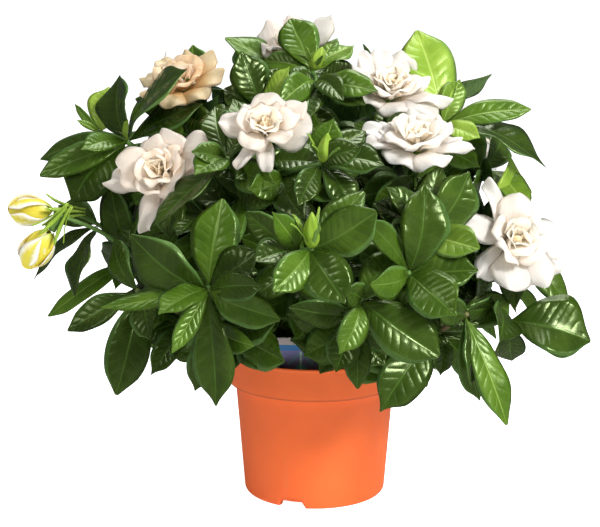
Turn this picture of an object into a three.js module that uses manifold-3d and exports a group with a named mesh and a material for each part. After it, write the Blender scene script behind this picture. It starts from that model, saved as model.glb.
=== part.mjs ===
// A gardenia in bloom in a round plastic pot, in millimetres, with +Z up.
// The origin is the centre of the pot's base, on the surface it stands on. The front is -Y.
import * as THREE from 'three';
import { mergeVertices } from 'three/addons/utils/BufferGeometryUtils.js';
import Module from 'manifold-3d';

const wasm = await Module();
wasm.setup();

// Pot: a thin moulded shell that tapers to its foot, with a deep collar under the rim
const potHeight = 107.7;
const rimRadius = 65;
const bodyTopRadius = 59.4;
const footRadius = 52.75;
const collarDepth = 24.2;
const potWall = 1.6;
const floorLift = 5.5;
const floorTop = floorLift + potWall;
const hubRadius = 24;
const footRingInner = 48;
const drainHoles = 6;
const drainHoleRadius = 4;
const footNotches = 3;
const firstNotchDegrees = 251;
const notch = { bottom: 18.5, top: 13.8, height: 5 };
const roundSides = 24;

// Soil: fills the pot to a little below the rim, slightly mounded
const soilEdgeHeight = 96;
const soilMound = 3;
const soilGap = 0.3;

// Plant label: a tapered plastic tag pushed into the soil inside the front rim
const label = {
  x: -10.5, y: -47, width: 50, stake: 16, thickness: 1, foot: 68, shoulder: 96, full: 113, top: 126,
  corner: 3, lean: 7,
};

// Stems
const stemRadius = 2.3;
const twigRadius = 1.7;
const stemSides = 5;
const twigSides = 4;
const stemFootHeight = 75;
const stemRise = 104;
const stemHoleSpare = 0.6;
const tipPast = 3;

// Leaves and petals, with the shares of their length at which a blade is widened. A leaf of the front
// is seen a little aslant, so it is wider than the width that its table gives.
const leafStations = [0.18, 0.5, 0.8];
const smallLeafStations = [0.38, 0.74];
const smallLeafWidth = 32;
const seenAslant = 1.15;
const leafRootStart = 1.2;
const ownRootShare = 0.2;
const petalStations = [0.42, 0.86];
const leafThickness = 1.4;
const petalThickness = 1.4;
const clearance = 0.35;
const bushCentre = new THREE.Vector3(0, 0, 170);
const frontLean = new THREE.Vector3(0, -1.1, 0.5);
const backLean = new THREE.Vector3(0, 0, 0.9);
const mostRoll = 24;
const rollPattern = new THREE.Vector3(2.1, 3.7, 5.3);
const mostBend = { front: 40, back: 60 };
const bendStep = 5;
const bendWays = 8;
const golden = 137.5;
const finest = 0.002;

// The leafy stems of the front, laid out as they grow. Each has its foot in the soil, [x, y], and
// its shoots. A shoot runs through its knots, the places where leaves leave it, from the lowest
// knot up. A leaf is the place of its tip from the knot, [right, back, up], then its width as seen.
// A shoot may end in a bloom or a bud, which faces the way given.
const frontStems = [
  {
    name: 'leafy_stem_front_left',
    foot: [-40, -25],
    shoots: [
      { knots: [
        { at: [-42, -72, 130], leaves: [[-30, -14, -20, 14], [-24, -4, -8, 14]] },
        { at: [-66, -116, 152], leaves: [[26, -30, -6, 16], [8, -26, -22, 14], [-14, -10, -42, 18]] },
        { at: [-69, -138, 181], leaves: [[9, 10, 57, 26], [-48, -10, 37, 28], [34, -12, 27, 22],
          [35, -30, 8, 17], [46, -22, -15, 20], [-70, 4, -13, 9], [-29, -34, -9, 19],
          [-22, -24, -36, 11], [4, -6, -76, 24], [20, 36, 56, 16]] },
      ] },
    ],
  },
  {
    name: 'leafy_stem_low_left',
    foot: [-40, -8],
    shoots: [
      { knots: [
        { at: [-84, -60, 142], leaves: [[-30, -20, -34, 16], [-12, -34, -18, 16]] },
        { at: [-119, -90, 169], leaves: [[-49, -5, -26, 18], [-14, -26, -65, 24], [11, -38, -24, 18],
          [30, -30, 4, 18], [-20, 24, 34, 18]] },
      ] },
      { knots: [
        { at: [-126, -42, 182], leaves: [[-66, 4, -42, 14], [-14, -16, -18, 12],
          [-16, -10, 53, 22]] },
        { at: [-151, -50, 208], leaves: [[-13, -32, -44, 26], [-50, 10, -42, 16], [-34, 30, 10, 20],
          [30, 10, 34, 20]] },
        { at: [-166, -60, 218], leaves: [] },
      ], bud: { name: 'opening_bud_upper', facing: [-1, 0, 0.02], reach: 30, petals: 5 } },
      { knots: [
        { at: [-146, -70, 206], leaves: [] },
        { at: [-169, -80, 218], leaves: [] },
      ], bud: { name: 'opening_bud_lower', facing: [-0.6, 0.05, -0.8], reach: 30, petals: 5 } },
    ],
  },
  {
    name: 'leafy_stem_upper_left',
    foot: [-34, 10],
    shoots: [
      { knots: [
        { at: [-106, -22, 232], leaves: [[-46, 20, -16, 24], [-20, -30, -30, 20]] },
        { at: [-131, -40, 265], leaves: [[-64, 10, -13, 18], [-60, -14, -22, 18], [-28, -32, -2, 14],
          [-38, -14, -40, 34], [-7, 20, 46, 26], [45, -30, 52, 28], [54, -14, 28, 24], [2, -12, 17, 6]] },
        { at: [-152, -22, 270], leaves: [[4, 14, 32, 17], [-20, 10, 20, 8], [-16, -8, 10, 4]] },
      ] },
      { knots: [
        { at: [-84, -8, 268], leaves: [[-36, -8, 20, 18], [16, 30, 20, 20], [-6, 34, 63, 18]] },
        { at: [-90, -26, 283], leaves: [[-36, -10, 12, 16], [-24, 30, 14, 18], [18, -34, -6, 18]] },
      ], bloom: { name: 'bloom_upper_left', facing: [-0.1, -0.4, 0.9], reach: 31 } },
    ],
  },
  {
    name: 'leafy_stem_mid_left',
    foot: [-20, -14],
    shoots: [
      { knots: [
        { at: [-50, -64, 222], leaves: [[-20, -28, -20, 18], [26, -26, -12, 18]] },
        { at: [-58, -102, 259], leaves: [[-10, 34, 33, 20], [-20, -30, -6, 18], [-46, -32, -38, 20],
          [-22, -22, 8, 13], [22, 20, 30, 18]] },
      ] },
      { knots: [
        { at: [-92, -76, 240], leaves: [[-6, -20, -34, 18], [-30, 14, 26, 18]] },
      ], bloom: { name: 'bloom_left', facing: [-0.3, -0.85, 0.35], reach: 37 } },
      { knots: [
        { at: [-34, -90, 264], leaves: [] },
      ], bloom: { name: 'bloom_centre', facing: [0, -0.75, 0.55], reach: 31 } },
    ],
  },
  {
    name: 'leafy_stem_top',
    foot: [-6, 6],
    shoots: [
      { knots: [
        { at: [-38, -40, 286], leaves: [[-14, -2, 42, 24], [12, 6, 30, 20], [20, -8, 32, 12],
          [-26, 4, 16, 18], [-22, -28, 2, 16]] },
        { at: [0, -30, 306], leaves: [[-26, -38, -14, 17], [42, -34, -4, 18], [34, -30, -14, 16],
          [18, -44, -10, 14], [-20, -8, 4, 16], [30, 10, 8, 16], [-8, -48, -24, 18]] },
        { at: [-2, -20, 312], leaves: [[-16, 20, 38, 24], [30, 12, 19, 26], [-36, 16, 8, 14],
          [18, 24, 24, 16]] },
      ], bud: { facing: [0.4, -0.2, 0.9], reach: 20 } },
      { knots: [
        { at: [-16, 16, 304], leaves: [[-50, -4, 32, 24], [26, 24, 10, 18]] },
      ], bloom: { name: 'bloom_top', facing: [-0.2, -0.25, 0.95], reach: 33 } },
    ],
  },
  {
    name: 'leafy_stem_high_front',
    foot: [8, -12],
    shoots: [
      { knots: [
        { at: [6, -52, 190], leaves: [] },
        { at: [-22, -98, 248], leaves: [[-22, -34, -4, 17], [40, -40, -10, 22], [14, -40, -22, 18]] },
        { at: [2, -118, 258], leaves: [[8, -6, 30, 16], [25, -18, 12, 16], [40, -20, 2, 21],
          [20, -22, -28, 18], [-14, -30, -22, 14], [30, 18, 20, 16]] },
      ], bud: { facing: [0.1, -0.4, 0.9], reach: 24 } },
    ],
  },
  {
    name: 'leafy_stem_front',
    foot: [-2, -30],
    shoots: [
      { knots: [
        { at: [-3, -40, 160], leaves: [] },
        { at: [-4, -112, 190], leaves: [[-40, -40, -16, 18], [24, -30, -30, 18]] },
        { at: [-12, -148, 206], leaves: [[-26, -28, 0, 20], [-33, 4, 26, 16], [-16, -24, 30, 14]] },
        { at: [-5, -163, 211], leaves: [[-22, -30, -20, 18], [21, -28, -28, 24], [40, -16, 26, 25],
          [34, 14, 34, 18]] },
      ], bud: { facing: [0, -0.25, 1], reach: 26 } },
    ],
  },
  {
    name: 'leafy_stem_low_front',
    foot: [20, -30],
    shoots: [
      { knots: [
        { at: [24, -92, 142], leaves: [[-34, -24, -2, 14], [-22, -20, -24, 14], [22, -14, -20, 20],
          [-44, -34, 20, 16]] },
        { at: [24, -128, 162], leaves: [[-12, -10, -36, 19], [2, -14, -46, 15], [-42, -22, 10, 16]] },
        { at: [27, -143, 175], leaves: [[-14, -22, -30, 16], [50, -12, -34, 28], [-10, -26, 12, 14]] },
      ] },
    ],
  },
  {
    name: 'leafy_stem_front_right',
    foot: [34, -20],
    shoots: [
      { knots: [
        { at: [52, -96, 172], leaves: [[-22, -30, -12, 18], [30, -20, -26, 18]] },
        { at: [58, -133, 190], leaves: [[10, 6, 57, 27], [-28, -22, 38, 16], [-26, -34, 0, 18],
          [28, -30, -21, 26], [44, -8, 4, 20]] },
      ] },
      { knots: [
        { at: [70, -104, 210], leaves: [[30, 4, 42, 28], [32, -40, -2, 22], [-26, -14, 34, 18],
          [-34, -6, 22, 20], [12, 14, 44, 18]] },
      ] },
    ],
  },
  {
    name: 'leafy_stem_low_right',
    foot: [42, 2],
    shoots: [
      { knots: [
        { at: [84, -82, 140], leaves: [[-42, -32, -48, 27], [0, -14, -28, 16], [26, 12, -34, 18]] },
        { at: [99, -100, 155], leaves: [[27, -22, -70, 20], [2, -22, -42, 20], [12, 2, -60, 15],
          [-22, -30, 10, 16]] },
      ] },
      { knots: [
        { at: [124, -70, 156], leaves: [[-24, -28, 2, 17], [-2, -34, -18, 24]] },
        { at: [131, -76, 146], leaves: [[57, -8, -13, 39], [8, 20, -34, 18]] },
      ] },
    ],
  },
  {
    name: 'leafy_stem_right',
    foot: [32, 18],
    shoots: [
      { knots: [
        { at: [112, -34, 198], leaves: [[10, -24, -30, 18], [-14, -30, 26, 18]] },
        { at: [126, -50, 195], leaves: [[12, -42, -22, 15], [42, 22, -6, 22], [52, -12, -45, 20],
          [14, -16, -48, 5], [36, 34, 10, 18], [10, 8, 60, 34]] },
      ], bloom: { name: 'bloom_right', facing: [0.25, -0.9, 0.3], reach: 40 } },
      { knots: [
        { at: [120, -30, 244], leaves: [[22, -40, -20, 22], [16, 30, 20, 18]] },
      ] },
    ],
  },
  {
    name: 'leafy_stem_upper_right',
    foot: [16, 8],
    shoots: [
      { knots: [
        { at: [78, -28, 258], leaves: [[34, -34, -8, 20], [30, 28, 6, 20]] },
        { at: [88, -36, 276], leaves: [[-16, 30, 66, 36], [14, 14, 32, 16], [62, -4, 12, 16],
          [72, -14, -28, 24], [24, -24, -6, 14]] },
      ] },
      { knots: [
        { at: [49, -28, 276], leaves: [[-24, -38, 0, 16]] },
      ], bloom: { name: 'bloom_upper_right', facing: [0.1, -0.45, 0.85], reach: 36 } },
      { knots: [
        { at: [66, -76, 246], leaves: [[20, -24, -30, 18], [-30, -22, -20, 18]] },
      ], bloom: { name: 'bloom_mid_right', facing: [0, -0.45, 0.9], reach: 36 } },
    ],
  },
];

// The back of the bush grows by a rule: stems at even turns round it, low and high in turn
const backStems = 8;
const backStart = 4;
const backEnd = 176;
const backFootRing = 30;
const backLevels = [
  { reach: 112, height: 168, knotReach: 70, knotHeight: 138 },
  { reach: 98, height: 262, knotReach: 62, knotHeight: 214 },
  { reach: 66, height: 278, knotReach: 42, knotHeight: 230 },
];
const backLeafLength = 66;
const backLeafWidth = 27;
const backBlooms = { 1: 'bloom_back_right', 4: 'bloom_back_left' };
const bloomOut = 12;
const bloomBelow = 20;

// A stem whose first knot is higher than this has a low whorl too, at its bend
const bareHeight = 180;
const lowWhorl = 3;
const lowLeafLength = 54;
const lowLeafWidth = 25;

const leafGreen = new THREE.MeshStandardMaterial({ color: 0x2f6b26, roughness: 0.35, metalness: 0 });
const petalCream = new THREE.MeshStandardMaterial({ color: 0xfaf2e6, roughness: 0.6, metalness: 0 });
const budYellow = new THREE.MeshStandardMaterial({ color: 0xe6d264, roughness: 0.5, metalness: 0 });
const potOrange = new THREE.MeshStandardMaterial({ color: 0xe8703a, roughness: 0.5, metalness: 0 });
const soilBrown = new THREE.MeshStandardMaterial({ color: 0x2a1d14, roughness: 0.95, metalness: 0 });
const labelBlue = new THREE.MeshStandardMaterial({ color: 0x6f78b8, roughness: 0.3, metalness: 0 });

const group = new THREE.Group();
const vector = ([x, y, z]) => new THREE.Vector3(x, y, z);

// A seeded random draw between -1 and 1
let seed = 20;
function draw() {
  seed = (Math.imul(seed, 1664525) + 1013904223) >>> 0;
  return seed / 2 ** 31 - 1;
}

// A closed mesh with its shared corners merged becomes a solid
function solidOf(geometry) {
  const bare = geometry.clone();
  bare.deleteAttribute('normal');
  bare.deleteAttribute('uv');
  const merged = mergeVertices(bare, 1e-4);
  const corners = merged.index.array;
  const kept = [];
  for (let i = 0; i < corners.length; i += 3) {
    const [a, b, c] = [corners[i], corners[i + 1], corners[i + 2]];
    if (a !== b && b !== c && a !== c) kept.push(a, b, c);
  }
  const vertProperties = new Float32Array(merged.attributes.position.array);
  return new wasm.Manifold(new wasm.Mesh({ numProp: 3, vertProperties, triVerts: new Uint32Array(kept) }));
}

// What is left after loose scraps are dropped and sealed hollows are filled
function onePiece(solid) {
  return solid.decompose().reduce((best, part) => (part.volume() > best.volume() ? part : best));
}

// The solid's mesh, with its corners rounded to a fine grid so that those of a join fall together
function geometryOf(solid) {
  const { vertProperties, triVerts } = solid.getMesh();
  const corners = vertProperties.map((value) => Math.round(value / finest) * finest);
  const geometry = new THREE.BufferGeometry();
  geometry.setAttribute('position', new THREE.BufferAttribute(corners, 3));
  geometry.setIndex(new THREE.BufferAttribute(triVerts, 1));
  return geometry;
}

function addNode(name, solid, material) {
  const joined = onePiece(solidOf(geometryOf(onePiece(solid))));
  const mesh = new THREE.Mesh(geometryOf(joined), material);
  mesh.name = name;
  group.add(mesh);
}

function turned(profile) {
  const points = profile.map(([radius, height]) => new THREE.Vector2(radius, height));
  return solidOf(new THREE.LatheGeometry(points, roundSides).rotateX(Math.PI / 2));
}

// A round bar between two points, with its own radius at each end
function bar(from, to, fromRadius, toRadius, sides = stemSides) {
  const along = to.clone().sub(from);
  const turn = new THREE.Quaternion().setFromUnitVectors(new THREE.Vector3(0, 1, 0), along.clone().normalize());
  const geometry = new THREE.CylinderGeometry(toRadius, fromRadius, along.length(), sides);
  geometry.applyQuaternion(turn);
  geometry.translate(...from.clone().add(to).multiplyScalar(0.5).toArray());
  return solidOf(geometry);
}

// A line through the points given, which a tube along it keeps as its corners
class CornerLine extends THREE.Curve {
  constructor(points) {
    super();
    this.points = points;
  }

  getPoint(t) {
    const place = t * (this.points.length - 1);
    const before = Math.min(Math.floor(place), this.points.length - 2);
    return this.points[before].clone().lerp(this.points[before + 1], place - before);
  }

  getPointAt(t) {
    return this.getPoint(t);
  }

  getTangentAt(t) {
    return this.getTangent(t);
  }

  getSpacedPoints() {
    return this.points;
  }
}

function tube(points, radius, sides) {
  const line = new CornerLine(points);
  const section = new THREE.Shape();
  for (let i = 0; i < sides; i++) {
    const angle = (i / sides) * 2 * Math.PI;
    const point = [radius * Math.cos(angle), radius * Math.sin(angle)];
    if (i === 0) section.moveTo(...point);
    else section.lineTo(...point);
  }
  const way = { steps: points.length - 1, extrudePath: line, bevelEnabled: false };
  return solidOf(new THREE.ExtrudeGeometry(section, way));
}

function potSolid() {
  const collarFoot = potHeight - collarDepth;
  const shell = turned([
    [0, 0], [hubRadius, 0], [hubRadius + 2.5, floorLift], [footRingInner - 2, floorLift],
    [footRingInner, 0], [footRadius - 1, 0], [footRadius, 1.2], [bodyTopRadius, collarFoot],
    [rimRadius - 1.4, collarFoot + 2], [rimRadius, collarFoot + 5], [rimRadius - 0.2, potHeight],
    [rimRadius - potWall, potHeight], [rimRadius - potWall, collarFoot + 5],
    [bodyTopRadius - potWall, collarFoot + 1], [footRadius - potWall, floorTop],
    [hubRadius + 1.5, floorTop], [hubRadius - 1, potWall], [0, potWall],
  ]);
  let pot = shell;
  for (let i = 0; i < drainHoles; i++) {
    const angle = (i / drainHoles) * 2 * Math.PI;
    const radius = (hubRadius + footRingInner) / 2;
    const centre = new THREE.Vector3(radius * Math.cos(angle), radius * Math.sin(angle), 0);
    const top = centre.clone().setZ(2 * floorLift);
    pot = pot.subtract(bar(centre, top, drainHoleRadius, drainHoleRadius, 8));
  }
  const outline = new THREE.Shape();
  outline.moveTo(-notch.bottom / 2, -1);
  outline.lineTo(notch.bottom / 2, -1);
  outline.lineTo(notch.top / 2, notch.height);
  outline.lineTo(-notch.top / 2, notch.height);
  for (let i = 0; i < footNotches; i++) {
    const cutter = new THREE.ExtrudeGeometry(outline, { depth: 14, bevelEnabled: false });
    cutter.rotateX(Math.PI / 2);
    cutter.translate(0, -footRingInner + 5, 0);
    cutter.rotateZ(THREE.MathUtils.degToRad(firstNotchDegrees + 90 + (i * 360) / footNotches));
    pot = pot.subtract(solidOf(cutter));
  }
  return pot;
}

function soilSolid() {
  const collarFoot = potHeight - collarDepth;
  const lowEdge = footRadius - potWall - soilGap;
  const highEdge = rimRadius - potWall - soilGap;
  return turned([
    [0, floorTop + soilGap], [lowEdge, floorTop + soilGap],
    [bodyTopRadius - potWall - soilGap, collarFoot + 1], [highEdge, collarFoot + 5.5],
    [highEdge, soilEdgeHeight - 1], [highEdge * 0.9, soilEdgeHeight + 1], [0, soilEdgeHeight + soilMound],
  ]);
}

// The label's outline, spare grows it for the slot that it leaves in the soil
function labelSolid(spare) {
  const half = label.width / 2 + spare;
  const stake = label.stake / 2 + spare;
  const shape = new THREE.Shape();
  shape.moveTo(-2 - spare, label.foot - spare);
  shape.lineTo(2 + spare, label.foot - spare);
  shape.lineTo(stake, label.foot + 10);
  shape.lineTo(stake, label.shoulder);
  shape.lineTo(half, label.full);
  shape.lineTo(half, label.top - label.corner);
  shape.lineTo(half - label.corner, label.top + spare);
  shape.lineTo(-half + label.corner, label.top + spare);
  shape.lineTo(-half, label.top - label.corner);
  shape.lineTo(-half, label.full);
  shape.lineTo(-stake, label.shoulder);
  shape.lineTo(-stake, label.foot + 10);
  const depth = label.thickness + 2 * spare;
  const geometry = new THREE.ExtrudeGeometry(shape, { depth, bevelEnabled: false });
  geometry.translate(0, -label.shoulder, -depth / 2);
  geometry.rotateX(Math.PI / 2 - THREE.MathUtils.degToRad(label.lean));
  geometry.translate(label.x, label.y, label.shoulder);
  return solidOf(geometry);
}

// A thin blade with a lens section, from its root to its tip. Each station is a share of its length,
// outline gives the half width there, arch lifts its middle towards face, and fold raises its edges.
// Both faces share the edge points and are split alike. Spare grows the blade all round.
function bladeSolid({ root, tip, face, width, thickness, stations, outline, arch, fold }, spare = 0) {
  const along = tip.clone().sub(root);
  const length = along.length();
  const ahead = along.clone().normalize();
  const up = face.clone().addScaledVector(ahead, -face.dot(ahead)).normalize();
  const side = ahead.clone().cross(up);
  const points = [root.clone()];
  for (const t of stations) {
    const half = (width / 2) * outline(t) + spare;
    const lift = arch * length * Math.sin(Math.PI * t);
    const middle = root.clone().addScaledVector(along, t).addScaledVector(up, lift);
    const rise = half * Math.sin(fold);
    const reach = half * Math.cos(fold);
    const skin = thickness / 2 + spare;
    points.push(middle.clone().addScaledVector(side, -reach).addScaledVector(up, rise));
    points.push(middle.clone().addScaledVector(up, skin));
    points.push(middle.clone().addScaledVector(side, reach).addScaledVector(up, rise));
    points.push(middle.clone().addScaledVector(up, -skin));
  }
  points.push(tip.clone().addScaledVector(ahead, spare));
  const end = points.length - 1;
  const index = [];
  const [left, top, right, bottom] = [1, 2, 3, 4];
  index.push(0, right, top, 0, top, left, 0, bottom, right, 0, left, bottom);
  for (let k = 0; k < stations.length - 1; k++) {
    const at = (corner) => 4 * k + corner;
    const next = (corner) => 4 * k + 4 + corner;
    index.push(at(right), next(right), next(top), at(right), next(top), at(top));
    index.push(at(left), next(top), next(left), at(left), at(top), next(top));
    index.push(at(right), next(bottom), next(right), at(right), at(bottom), next(bottom));
    index.push(at(left), next(left), next(bottom), at(left), next(bottom), at(bottom));
  }
  const last = 4 * (stations.length - 1);
  index.push(last + right, end, last + top, last + top, end, last + left);
  index.push(last + right, last + bottom, end, last + bottom, last + left, end);
  const geometry = new THREE.BufferGeometry();
  geometry.setAttribute('position', new THREE.Float32BufferAttribute(points.flatMap((p) => p.toArray()), 3));
  geometry.setIndex(index);
  return solidOf(geometry);
}

const leafOutline = (t) => Math.sin(Math.PI * t ** 1.1) ** 0.7;
const petalOutline = (t) => Math.sin(Math.PI * t ** 1.8) ** 0.6;
const sepalOutline = (t) => Math.sin(Math.PI * t ** 0.7) ** 0.8;

// Each leaf rolls its own way round its midrib, by an angle that its place from the knot settles
function rollOf(reach) {
  return THREE.MathUtils.degToRad(mostRoll) * Math.sin(rollPattern.dot(reach));
}

// A leaf turns its glossy face outwards, by its lean towards the light, and by its roll
function leafBlade(knot, reach, width, lean, roll) {
  const root = knot.clone().addScaledVector(reach.clone().normalize(), leafRootStart);
  const tip = knot.clone().add(reach);
  const ahead = reach.clone().normalize();
  const face = root.clone().add(tip).multiplyScalar(0.5).sub(bushCentre).normalize().add(lean);
  face.addScaledVector(ahead, -face.dot(ahead)).applyAxisAngle(ahead, roll);
  const stations = width < smallLeafWidth ? smallLeafStations : leafStations;
  const shape = { thickness: leafThickness, outline: leafOutline, arch: 0.09, fold: 0.28 };
  return { root, tip, face, width, stations, ...shape };
}

// Two directions square to an axis and to each other
function acrossOf(axis) {
  const first = new THREE.Vector3(0, 0, 1).cross(axis);
  if (first.length() < 0.1) first.set(1, 0, 0);
  first.normalize();
  return [first, axis.clone().cross(first)];
}

// One ring of petals or sepals, open by an angle from the axis
function whorl(base, axis, ring) {
  const [first, second] = acrossOf(axis);
  const lean = THREE.MathUtils.degToRad(ring.open);
  const solids = [];
  for (let i = 0; i < ring.count; i++) {
    const angle = THREE.MathUtils.degToRad(ring.turn + (360 * i) / ring.count);
    const out = first.clone().multiplyScalar(Math.cos(angle)).addScaledVector(second, Math.sin(angle));
    const root = base.clone().addScaledVector(axis, ring.height).addScaledVector(out, ring.radius);
    const tip = root.clone().addScaledVector(axis, ring.reach * Math.cos(lean));
    tip.addScaledVector(out, ring.reach * Math.sin(lean));
    const face = axis.clone().multiplyScalar(Math.sin(lean)).addScaledVector(out, -Math.cos(lean));
    solids.push(bladeSolid({ ...ring, root, tip, face }));
  }
  return solids;
}

// A double bloom: an outer and a middle whorl of petals and a furled heart, on a small receptacle
function bloomSolid(base, axis, reach, turn) {
  const petal = { outline: petalOutline, thickness: petalThickness, stations: petalStations };
  const outer = { ...petal, count: 5, reach, width: reach * 0.8, open: 78, turn, arch: 0.12, fold: 0.12 };
  const middle = { ...petal, count: 4, reach: reach * 0.8, width: reach * 0.64, open: 48, turn: turn + 30 };
  const heart = { ...petal, count: 3, reach: reach * 0.6, width: reach * 0.46, open: 16, turn: turn + 70 };
  return wasm.Manifold.union([
    bar(base, base.clone().addScaledVector(axis, 14), 5.5, 3, 6),
    ...whorl(base, axis, { ...outer, height: 3, radius: 3.5 }),
    ...whorl(base, axis, { ...middle, height: 7, radius: 3.5, arch: 0.03, fold: 0.25 }),
    ...whorl(base, axis, { ...heart, height: 10, radius: 2.4, arch: -0.14, fold: 0.35 }),
  ]);
}

// An opening bud: pale petals still furled round each other
function openingBudSolid(base, axis, reach, petals) {
  const petal = { outline: petalOutline, thickness: petalThickness, stations: petalStations };
  const furled = { ...petal, count: petals, arch: -0.2, fold: 0.3 };
  return wasm.Manifold.union([
    bar(base, base.clone().addScaledVector(axis, reach * 0.75), 3.4, 7, 6),
    ...whorl(base, axis, { ...furled, reach, width: reach * 0.52, open: 16, turn: 0, height: 3, radius: 3 }),
  ]);
}

// A closed green bud with its slender sepals
function greenBudSolids(base, axis, reach) {
  const middle = base.clone().addScaledVector(axis, reach * 0.45);
  const tip = base.clone().addScaledVector(axis, reach * 0.95);
  const sepal = { outline: sepalOutline, thickness: 1.2, stations: petalStations, arch: -0.12, fold: 0 };
  const sepals = { ...sepal, count: 3, reach: reach * 0.95, width: 4, open: 36, turn: 20 };
  return [
    bar(base, middle, 2.6, 5.4, 6),
    bar(middle, tip, 5.4, 0.8, 6),
    ...whorl(base, axis, { ...sepals, height: 1, radius: 1.5 }),
  ];
}

// Everything placed so far, by node, so that what comes later is kept clear of it
const placed = [];
function place(node, solid) {
  placed.push({ node, solid, box: boxOf(solid) });
  return solid;
}

function boxOf(solid) {
  const { min, max } = solid.boundingBox();
  return new THREE.Box3(vector(min), vector(max));
}

// Whether a blade keeps clear of all other nodes, and beyond its root of its own node too
function isClear(node, blade) {
  const outer = { ...blade, root: blade.root.clone().lerp(blade.tip, ownRootShare) };
  const whole = bladeSolid(blade, clearance);
  const beyond = bladeSolid(outer, clearance);
  const box = boxOf(whole);
  const clear = placed.every((other) => {
    if (!other.box.intersectsBox(box)) return true;
    const shared = (other.node === node ? beyond : whole).intersect(other.solid);
    const empty = shared.isEmpty();
    shared.delete();
    return empty;
  });
  whole.delete();
  beyond.delete();
  return clear;
}

// A leaf that would cross another stem, bloom or leaf is bent aside by the smallest turn that clears it
function placeLeaf(node, knot, reach, width, lean) {
  const most = lean === frontLean ? mostBend.front : mostBend.back;
  const ahead = reach.clone().normalize();
  const across = acrossOf(ahead);
  for (let degrees = 0; degrees <= most; degrees += bendStep) {
    const ways = degrees === 0 ? 1 : bendWays;
    for (let way = 0; way < ways; way++) {
      const angle = (way / ways) * 2 * Math.PI;
      const axis = across[0].clone().multiplyScalar(Math.cos(angle)).addScaledVector(across[1], Math.sin(angle));
      const bent = reach.clone().applyAxisAngle(axis, THREE.MathUtils.degToRad(degrees));
      const blade = leafBlade(knot, bent, width, lean, rollOf(reach));
      if (isClear(node, blade)) return place(node, bladeSolid(blade));
    }
  }
  return null;
}

// The back stems, written out in the same form as the front ones
function backStem(index) {
  const turn = THREE.MathUtils.degToRad(backStart + ((backEnd - backStart) * index) / (backStems - 1));
  const level = backLevels[index % backLevels.length];
  const outwards = new THREE.Vector3(Math.cos(turn), Math.sin(turn), 0);
  const at = (reach, height) => outwards.clone().multiplyScalar(reach).setZ(height);
  const knots = [
    { at: at(level.knotReach, level.knotHeight), whorls: 1 },
    { at: at((level.knotReach + level.reach) / 2, (level.knotHeight + level.height) / 2 + 8), whorls: 1 },
    { at: at(level.reach, level.height), whorls: 2 },
  ];
  for (const [order, knot] of knots.entries()) {
    knot.leaves = whorlsOfLeaves(outwards.clone().setZ(0.6), knot.whorls, golden * (3 * index + order));
    knot.at = knot.at.toArray();
  }
  const name = `leafy_stem_back_${index + 1}`;
  const shoots = [{ knots }];
  if (backBlooms[index]) {
    const facing = outwards.clone().setZ(0.7).toArray();
    const top = at(level.reach + bloomOut, level.height - bloomBelow).toArray();
    shoots.push({ knots: [{ at: top, leaves: [] }], bloom: { name: backBlooms[index], facing, reach: 36 } });
  }
  const foot = at(backFootRing, 0).toArray().slice(0, 2);
  return { name, foot, shoots };
}

// Whorls of three leaves round a shoot that grows the way given
function whorlsOfLeaves(way, whorls, start) {
  const axis = way.clone().normalize();
  const [first, second] = acrossOf(axis);
  const leaves = [];
  for (let i = 0; i < 3 * whorls; i++) {
    const angle = THREE.MathUtils.degToRad(start + 120 * i + 60 * Math.floor(i / 3) + 12 * draw());
    const open = THREE.MathUtils.degToRad(72 - 22 * Math.floor(i / 3) + 8 * draw());
    const length = backLeafLength * (1 + 0.18 * draw());
    const out = first.clone().multiplyScalar(Math.cos(angle)).addScaledVector(second, Math.sin(angle));
    const reach = axis.clone().multiplyScalar(Math.cos(open)).addScaledVector(out, Math.sin(open));
    reach.multiplyScalar(length);
    leaves.push([reach.x, reach.y, reach.z - 6, backLeafWidth * (1 + 0.15 * draw())]);
  }
  return leaves;
}

// The low whorl of a tall stem spreads from its bend, away from the middle of the pot
function lowLeaves(stem) {
  if (stem.shoots[0].knots[0].at[2] < bareHeight) return [];
  const outwards = stem.fork.clone().setZ(0).normalize();
  const sideways = new THREE.Vector3(-outwards.y, outwards.x, 0);
  const leaves = [];
  for (let i = 0; i < lowWhorl; i++) {
    const aside = (i - (lowWhorl - 1) / 2) * 0.9 + 0.2 * draw();
    const reach = outwards.clone().addScaledVector(sideways, aside).setZ(0.35 + 0.25 * draw());
    leaves.push(reach.setLength(lowLeafLength * (1 + 0.15 * draw())));
  }
  return leaves;
}

// The corners of a shoot: the first rises from the soil, the others fork from the first. It runs
// through its knots, with one more corner below the lowest, and ends a little past the last.
function shootCorners(stem, order) {
  const [x, y] = stem.foot;
  const rise = [stemFootHeight, stemRise].map((z) => new THREE.Vector3(x, y, z));
  const start = order === 0 ? rise[1] : stem.fork;
  const knots = stem.shoots[order].knots.map((knot) => vector(knot.at));
  const curve = new THREE.CatmullRomCurve3([start, ...knots], false, 'centripetal');
  const bend = curve.getPoint(0.5 / knots.length);
  const past = knots.at(-1).clone().addScaledVector(curve.getTangent(1), tipPast);
  if (order > 0) return [start, bend, ...knots, past];
  stem.fork = bend;
  return [rise[0], start, bend, ...knots, past];
}

const stems = [...frontStems, ...Array.from({ length: backStems }, (_, index) => backStem(index))];

place('pot', potSolid());
addNode('pot', placed[0].solid, potOrange);
place('plant_label', labelSolid(0));
addNode('plant_label', placed[1].solid, labelBlue);

// Soil with a slot for the label and a plain hole for each stem
let soil = soilSolid().subtract(labelSolid(0.4));
for (const stem of stems) {
  const [x, y] = stem.foot;
  const low = new THREE.Vector3(x, y, stemFootHeight - 0.5);
  const high = new THREE.Vector3(x, y, potHeight + 4);
  soil = soil.subtract(bar(low, high, stemRadius + stemHoleSpare, stemRadius + stemHoleSpare));
}
place('soil', soil);
addNode('soil', soil, soilBrown);

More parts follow.
